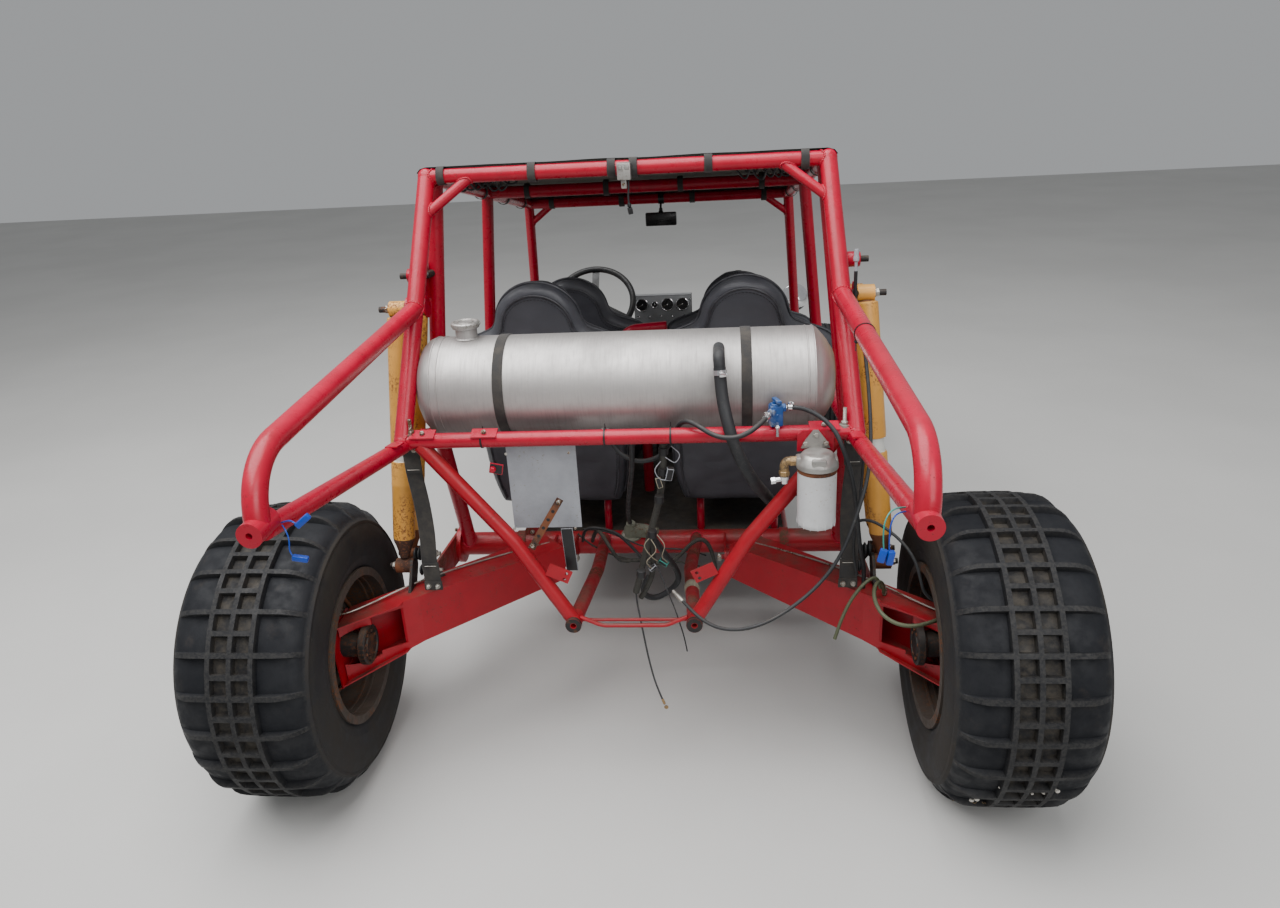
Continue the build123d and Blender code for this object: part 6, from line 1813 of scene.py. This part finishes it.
    def add_wheel_trim(self):
        """Horn cap and bolts on the steering wheel."""
        hub = Vector((-0.293, rear_axle + 1.8, 0.901))
        pinion = spot(-0.293, 2.335, 0.0)
        low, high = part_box("tie_rods")
        pinion.z = (low.z + high.z) / 2
        axis = (hub - pinion).normalized()
        bm = bmesh.new()
        add_lathe(
            bm, hub + axis * 0.009, axis,
            ((0, 0.034), (0.003, 0.033), (0.005, 0.024), (0.009, 0.022), (0.013, 0.016), (0.014, 0.0)), 32,
        )
        level = Vector((1, 0, 0))
        rise = axis.cross(level)
        for number in range(6):
            turn = number * pi / 3 + 0.4
            add_bolt(
                bm, hub + axis * 0.01 + (level * cos(turn) + rise * sin(turn)) * 0.0275, axis, 0.0035, 0.003, paint=1,
            )
        piece("horn_cap", bm, ["gauge_black", "zinc_bolt"], "steering_column")


class BUGGY_OT_bay(bpy.types.Operator):
    """Hang the small fittings left in the empty engine bay"""

    bl_idname = "buggy.bay"
    bl_label = "Engine bay fittings"

    def execute(self, context):
        self.add_tube_fittings()
        self.add_floor_fittings()
        self.add_arm_ends()
        self.add_axle_fittings()
        self.add_cap_wires(context)
        return {"FINISHED"}

    def add_tube_fittings(self):
        bm = bmesh.new()
        # plastic 0, bolts 1, red 2, black steel 3, grey 4, rust 5, tape 6
        cross = spot(0, 0.04, 0.955)
        for across in (-0.353, -0.048, 0.113):
            add_tie(bm, cross + Vector((across, 0, 0)), (1, 0, 0), main_tube)
        for across, rise in ((-0.53, 0.03), (0.527, 0.034)):
            foot = cross + Vector((across, 0.0, 0.02))
            add_bolt(bm, foot, (0, 0, 1), 0.0085, 0.007, rise, 1)
            add_lathe(bm, foot - Vector((0, 0, 0.008)), (0, 0, 1), ((0, 0.013), (0.008, 0.013)), 20, 1)
        # bolts on the flat tabs of the rear cross tube
        for across in (-0.5, -0.345, 0.478):
            tab = cross + Vector((across, -0.008, main_tube + 0.003))
            add_bolt(bm, tab, (0, -0.3, 1), 0.0062, 0.005, paint=1)
        # perforated strap across the blank plate
        start, end = spot(-0.166, 0.006, 0.806), spot(-0.25, 0.0, 0.672)
        run = (end - start).normalized()
        side = run.cross(Vector((0, 1, 0))).normalized()
        outline = [start + side * 0.009, start - side * 0.009, end - side * 0.009, end + side * 0.009]
        add_plate(bm, outline, Vector((0, 0.0025, 0)), 5)
        for number in range(6):
            hole = part_way(start, end, 0.08 + 0.165 * number)
            add_lathe(
                bm, hole, (0, -1, 0), ((0.0, 0.0045), (0.0006, 0.0042), (0.0006, 0.0004), (0.0, 0.0002)), 14, 0,
                hollow=True,
            )
        add_bolt(bm, end + Vector((0.004, -0.001, 0.01)), (0, -1, 0), 0.006, 0.005, paint=1)
        add_bolt(bm, start + Vector((-0.003, -0.001, -0.006)), (0, -1, 0), 0.006, 0.005, paint=1)
        # grey bar hanging below the plate
        add_block(bm, spot(-0.157, 0.026, 0.655), (0.03, 0.005, 0.125), (3, -2, 0), 0.001, 4)
        # red tab with a bolt, left of the plate
        add_block(bm, spot(-0.322, 0.024, 0.884), (0.034, 0.006, 0.028), (0, 12, 0), 0.002, 2)
        add_bolt(bm, spot(-0.33, 0.02, 0.884), (0, -1, 0), 0.008, 0.007, paint=2)
        # screws of the blank plate
        for across, height in ((-0.292, 0.925), (-0.136, 0.925), (-0.292, 0.72), (-0.136, 0.72)):
            add_bolt(bm, spot(across, 0.0176, height), (0, -1, 0), 0.0035, 0.002, paint=1)
        # whip mount on the right shoulder
        mast = spot(0.566, 0.222, 1.2)
        add_block(bm, mast + Vector((-0.014, -0.012, 0.002)), (0.034, 0.005, 0.046), (0, 38, 8), 0.001, 3)
        add_bolt(bm, mast + Vector((-0.02, -0.015, -0.004)), (0, -1, 0), 0.007, 0.006, paint=1)
        add_rod(bm, mast + Vector((0, -0.01, -0.006)), mast + Vector((0, -0.01, 0.02)), 0.0075, 6, 3)
        add_rod(bm, mast + Vector((0, -0.01, 0.016)), mast + Vector((0, -0.01, 0.104)), 0.0044, 12, 0)
        add_rod(bm, mast + Vector((0, -0.01, 0.1)), mast + Vector((0, -0.01, 0.128)), 0.0036, 12, 4)
        add_lathe(
            bm, mast + Vector((0, -0.01, 0.126)), (0, 0, 1),
            ((0, 0.0045), (0.003, 0.007), (0.012, 0.007), (0.015, 0.0058), (0.024, 0.0064), (0.03, 0.005)), 16, 4,
        )
        # plates that carry the upper shock pins
        for side in (-1, 1):
            for top in ("shock_top", "second_shock_top"):
                plate = corner(top, side) - Vector((side * 0.031, 0, 0))
                outline = [plate + Vector((0, cos(t) * 0.027, sin(t) * 0.03)) for t in turns(20)]
                add_plate(bm, outline, Vector((side * 0.005, 0, 0)), 2)
            pin = corner("spare_pin", side)
            add_lathe(
                bm, pin - Vector((side * 0.02, 0, 0)), (side, 0, 0),
                ((0, 0.0084), (0, 0.0185), (0.002, 0.02), (0.036, 0.02), (0.038, 0.0185), (0.038, 0.0084)), 28, 2,
                hollow=True,
            )
            tab = [
                pin + Vector((-side * 0.027, ahead, height))
                for ahead, height in ((0.04, 0.03), (-0.018, 0.024), (-0.024, -0.012), (-0.01, -0.062), (0.04, -0.07))
            ]
            add_plate(bm, tab, Vector((side * 0.005, 0, 0)), 2)
            add_bolt(bm, pin + Vector((-side * 0.021, 0.012, -0.048)), (side, 0, 0), 0.0085, 0.007, 0.006, 1)
            ring = part_way(shoulder(side), corner("knee", side), 0.34)
            along = corner("knee", side) - shoulder(side)
            if side > 0:
                add_tie(bm, ring, along, heavy_tube, 0.004, 0.03)
        # pale tape round the right horn
        taped = part_way(corner("cradle_foot"), corner("horn_bend"), 0.52)
        run = corner("horn_bend") - corner("cradle_foot")
        wrap = (
            (0, main_tube + 0.0002), (0, main_tube + 0.0013), (0.014, main_tube + 0.0015), (0.015, main_tube + 0.0021),
            (0.034, main_tube + 0.0019), (0.04, main_tube + 0.0011), (0.04, main_tube + 0.0002),
        )
        add_lathe(bm, taped, run, wrap, 36, 6, hollow=True)
        paints = ("black_plastic", "zinc_bolt", "red_paint", "black_steel", "plate_grey", "rust_iron", "wire_pale")
        piece("tube_fittings", bm, paints)

    def add_floor_fittings(self):
        """What is bolted to the torsion housing and hangs in front of it."""
        bm = bmesh.new()
        # cast 0, rubber 1, red 2, bolts 3, black 4
        housing = Vector((0, corner("torsion_end").y, corner("torsion_end").z))
        seat = housing + Vector((-0.062, -0.02, torsion_tube - 0.004))
        add_lathe(
            bm, seat, (0, -0.25, 1),
            ((0, 0.034), (0.006, 0.034), (0.01, 0.026), (0.032, 0.023), (0.04, 0.017), (0.052, 0.015), (0.054, 0.012)),
            28, 0,
        )
        add_block(bm, seat + Vector((0.03, -0.006, 0.02)), (0.052, 0.04, 0.034), (5, 12, 10), 0.006, 0)
        add_lathe(
            bm, seat + Vector((0.05, -0.01, 0.022)), (1, -0.3, 0.1),
            ((0, 0.018), (0.022, 0.016), (0.026, 0.011), (0.04, 0.01)), 20, 0,
        )
        for shift in (-0.024, 0.024):
            add_bolt(bm, seat + Vector((shift, -0.012, 0.004)), (0, -0.3, 1), 0.0062, 0.005, 0.004, 3)
        # ring tab and round tab on the housing
        for across, size in ((-0.018, 0.02), (-0.392, 0.024)):
            centre = housing + Vector((across, -0.012, torsion_tube + 0.01))
            outline = [centre + Vector((cos(t) * size, 0, sin(t) * size)) for t in turns(24)]
            add_plate(bm, outline, Vector((0, 0.007, 0)), 2)
            add_bolt(bm, centre - Vector((0, 0.001, 0)), (0, -1, 0), 0.007, 0.005, paint=3)
        # bolts of the housing's end covers
        for side in (-1, 1):
            end = corner("torsion_end", side) + Vector((side * 0.022, 0, 0))
            add_bolt_circle(bm, end, side, 0.051, 6, 0.5, 0.0062, 0.006, paint=3)
            pin = spot(side * 0.275, 0.462, 0.392)
            for way in (-1, 1):
                add_bolt(bm, pin + Vector((way * 0.047, 0, 0)), (way, 0, 0), 0.0125, 0.01, 0.004, 3)
            add_lathe(
                bm, pin + Vector((0, 0, 0.027)), (0, -0.2, 1),
                ((0, 0.004), (0.004, 0.004), (0.005, 0.0025), (0.01, 0.0025), (0.012, 0.001)), 12, 3,
            )
            # clamp straps of the torsion bars on the housing
            add_band(
                bm, housing + Vector((side * 0.43 - 0.014, 0, 0)), (1, 0, 0), torsion_tube + 0.0004,
                torsion_tube + 0.004, 0.028, 40, 2,
            )
        # caps on the ends of the cradle's sleeves
        for side in (-1, 1):
            sleeve = corner("cradle_foot", side)
            add_lathe(
                bm, sleeve + Vector((0, -0.0265, 0)), (0, 1, 0),
                (
                    (0, 0.0085), (0, 0.0205), (0.002, 0.0213), (0.01, 0.0213), (0.01, 0.0209), (0.003, 0.0209),
                    (0.003, 0.0085),
                ),
                32, 4, hollow=True,
            )
        paints = ("cast_olive", "hose_rubber", "red_worn", "zinc_bolt", "black_steel")
        piece("housing_fittings", bm, paints)

    def add_arm_ends(self):
        """Folded sheet that boxes in the bearing at the end of each arm."""
        bm = bmesh.new()
        for side in (-1, 1):
            end = ((0.792, -0.064, 0.466), (0.792, 0.058, 0.466), (0.786, 0.058, 0.287), (0.786, -0.064, 0.289))
            add_plate(bm, spots(end, side), Vector((side * 0.004, 0, 0)))
            for inner, outer, drop in ((0.4775, 0.468, -0.004), (0.3265, 0.287, 0.004)):
                shelf = ((0.636, 0.074, inner), (0.79, -0.03, outer), (0.794, -0.064, outer), (0.64, 0.05, inner))
                add_plate(bm, spots(shelf, side), Vector((0, 0, drop)))
        piece("arm_end_boxes", bm, ["red_dusty"])

        bm = bmesh.new()
        flange = (
            (0.0, 0.012), (0.0, 0.028), (0.004, 0.03), (0.004, 0.043), (0.0, 0.045), (0.0, 0.0515), (0.0025, 0.054),
            (0.018, 0.054), (0.0205, 0.0515), (0.0215, 0.034), (0.078, 0.034), (0.084, 0.054), (0.096, 0.054),
        )
        for side in (-1, 1):
            start = spot(side * 0.716, 0, 0.387)
            add_lathe(bm, start, (side, 0, 0), flange, 48, 0)
            add_bolt_circle(bm, start + Vector((side * 0.004, 0, 0)), -side, 0.0365, 8, 0.3, 0.0042, 0.0035)
        piece("axle_bearings", bm, ["black_steel", "rust_iron"], "chassis", ("axle_carriers",))

    def add_axle_fittings(self):
        bm = bmesh.new()
        # steel 0, bolts 1, rubber 2, rust 3
        for side in (-1, 1):
            # steel brake line along the top of the arm to the backing plate
            line = (
                (0.3, 0.455, 0.452), (0.4, 0.372, 0.464), (0.52, 0.262, 0.4775), (0.6, 0.176, 0.487),
                (0.65, 0.13, 0.486), (0.72, 0.06, 0.48), (0.77, 0.018, 0.476), (0.806, 0.01, 0.472),
            )
            add_pipe(bm, spots(line, side), 0.0026, 8, 6, 0)
            hub = spot(side * 0.812, 0, 0.387)
            add_bolt_circle(bm, hub - Vector((side * 0.001, 0, 0)), -side, 0.072, 6, 0.2, 0.0075, 0.006, 0.003)
            add_block(bm, hub + Vector((-side * 0.01, 0.012, 0.094)), (0.018, 0.052, 0.026), (0, 0, 0), 0.005, 3)
            add_lathe(
                bm, hub, (-side, 0, 0),
                ((0.0, 0.1275), (0.004, 0.1275), (0.006, 0.124), (0.006, 0.12), (0.002, 0.118), (0.0005, 0.118)), 56, 3,
                hollow=True,
            )
            # ribbed gaiters over the ends of the limit strap's clevis
            gaiter = spot(side * 0.61, 0.205, 0.562)
            for number in range(5):
                ring = gaiter + Vector((-side * (0.03 - 0.011 * number), -0.02, 0))
                add_lathe(bm, ring, (1, 0, 0), ridge(0, 0.005, 0.012, 0.001, 0.019), 20, 2)
            low_gaiter = spot(side * 0.596, 0.185, 0.522)
            for number in range(4):
                ring = low_gaiter + Vector((-side * (0.022 - 0.011 * number), -0.02, 0))
                add_lathe(bm, ring, (1, 0, 0), ridge(0, 0.005, 0.01, 0.001, 0.016), 20, 2)
            add_bolt(bm, gaiter + Vector((-side * 0.036, -0.02, 0)), (-side, 0, 0), 0.011, 0.01, 0.01, 1)
            add_bolt(bm, low_gaiter + Vector((-side * 0.028, -0.02, 0)), (-side, 0, 0), 0.009, 0.008, 0.012, 1)
        paints = ("zinc_bolt", "zinc_bolt", "hose_rubber", "rust_iron")
        piece("axle_fittings", bm, paints)

    def add_cap_wires(self, context):
        """Blue plugs on loose wires at the ends of the rear loops."""
        rows = (
            # name, finish, diameter, route and the plug's place in millimetres, the plug's size and turn
            ("left", "wire_blue", 3, ((-536, -632, 1064), (-520, -640, 1072), (-506, -648, 1074), (-494, -652, 1066)),
             (-484, -655, 1078), (0.03, 0.011, 0.011), (0, -38, 8)),
            ("left_low", "wire_blue", 2.6,
             ((-537, -630, 1058), (-526, -640, 1052), (-521, -646, 1034), (-524, -650, 1016), (-516, -652, 1006)),
             (-504, -653, 1004), (0.028, 0.011, 0.01), (0, 12, 4)),
            ("right_blue", "wire_blue", 2.6,
             ((536, -626, 1066), (520, -640, 1072), (508, -650, 1060), (506, -652, 1030), (508, -650, 1004)),
             (510, -650, 993), (0.012, 0.01, 0.026), (4, 8, 10)),
            ("right_green", "wire_teal", 2.6,
             ((537, -618, 1070), (514, -634, 1078), (498, -648, 1062), (496, -652, 1032), (499, -650, 1006)),
             (497, -650, 997), (0.012, 0.01, 0.024), (-4, 14, -10)),
        )
        for name, finish, diameter, places, plug_place, size, turn in rows:
            bm = bmesh.new()
            add_block(bm, spot_mm(plug_place), size, turn, 0.002)
            plug = piece(f"cap_wire_{name}_plug", bm, ["wire_blue"])
            lay_cord(context, "cap_wire_" + name, diameter, None, finish, "plug", "limp", "hanging", places, [plug])


class BUGGY_OT_stage(bpy.types.Operator):
    """Lay the floor and hang the lights"""

    bl_idname = "buggy.stage"
    bl_label = "Stage"

    def execute(self, context):
        settings = context.scene.buggy_stage
        bm = bmesh.new()
        bmesh.ops.create_grid(bm, x_segments=4, y_segments=4, size=settings.reach)
        mesh = bpy.data.meshes.new("stage_floor")
        bm.to_mesh(mesh)
        bm.free()
        mesh.materials.append(finishes["floor_pale"])
        floor = bpy.data.objects.new("stage_floor", mesh)
        context.scene.collection.objects.link(floor)
        for name, place, aim, size, power in (
            ("soft_overhead", (-1.2, -1.4, 5.0), (0, 0.2, 0.5), 5.0, settings.overhead),
            ("soft_rear", (2.6, -5.0, 3.6), (0, 0, 0.7), 3.5, settings.overhead * 0.32),
        ):
            data = bpy.data.lights.new(name, "AREA")
            data.energy = power
            data.size = size
            light = bpy.data.objects.new(name, data)
            light.location = place
            light.rotation_euler = (Vector(aim) - Vector(place)).to_track_quat("-Z", "Y").to_euler()
            context.scene.collection.objects.link(light)
        world = context.scene.world or bpy.data.worlds.new("stage_world")
        context.scene.world = world
        world.use_nodes = True
        background = world.node_tree.nodes["Background"]
        background.inputs["Color"].default_value = (0.8, 0.82, 0.84, 1)
        background.inputs["Strength"].default_value = settings.sky
        return {"FINISHED"}


class BUGGY_PT_panel(bpy.types.Panel):
    """Lists the buggy's pieces"""

    bl_idname = "BUGGY_PT_panel"
    bl_label = "Buggy"
    bl_space_type = "VIEW_3D"
    bl_region_type = "UI"
    bl_category = "Buggy"

    def draw(self, context):
        for operator in operators:
            self.layout.operator(operator.bl_idname)
        for group in settings_groups:
            settings = getattr(context.scene, group)
            column = self.layout.column(align=True)
            for setting in type(settings).__annotations__:
                column.prop(settings, setting)


operators = (
    BUGGY_OT_finishes,
    BUGGY_OT_camera,
    BUGGY_OT_cords,
    BUGGY_OT_welds,
    BUGGY_OT_tyres,
    BUGGY_OT_wheels,
    BUGGY_OT_seats,
    BUGGY_OT_canopy,
    BUGGY_OT_tank,
    BUGGY_OT_shocks,
    BUGGY_OT_filter,
    BUGGY_OT_cab,
    BUGGY_OT_bay,
    BUGGY_OT_stage,
)
settings_groups = {
    "buggy_camera": CameraSettings,
    "buggy_stage": StageSettings,
    "buggy_tyres": TyreSettings,
    "buggy_seats": SeatSettings,
    "buggy_canopy": CanopySettings,
    "buggy_tank": TankSettings,
}


def register():
    for group in settings_groups.values():
        bpy.utils.register_class(group)
    for operator in operators:
        bpy.utils.register_class(operator)
    bpy.utils.register_class(BUGGY_PT_panel)
    for name, group in settings_groups.items():
        setattr(bpy.types.Scene, name, PointerProperty(type=group))


def unregister():
    for name in settings_groups:
        delattr(bpy.types.Scene, name)
    bpy.utils.unregister_class(BUGGY_PT_panel)
    for operator in reversed(operators):
        bpy.utils.unregister_class(operator)
    for group in settings_groups.values():
        bpy.utils.unregister_class(group)


def main():
    register()
    for operator in operators:
        family, action = operator.bl_idname.split(".")
        getattr(getattr(bpy.ops, family), action)()


if __name__ == "__main__":
    main()
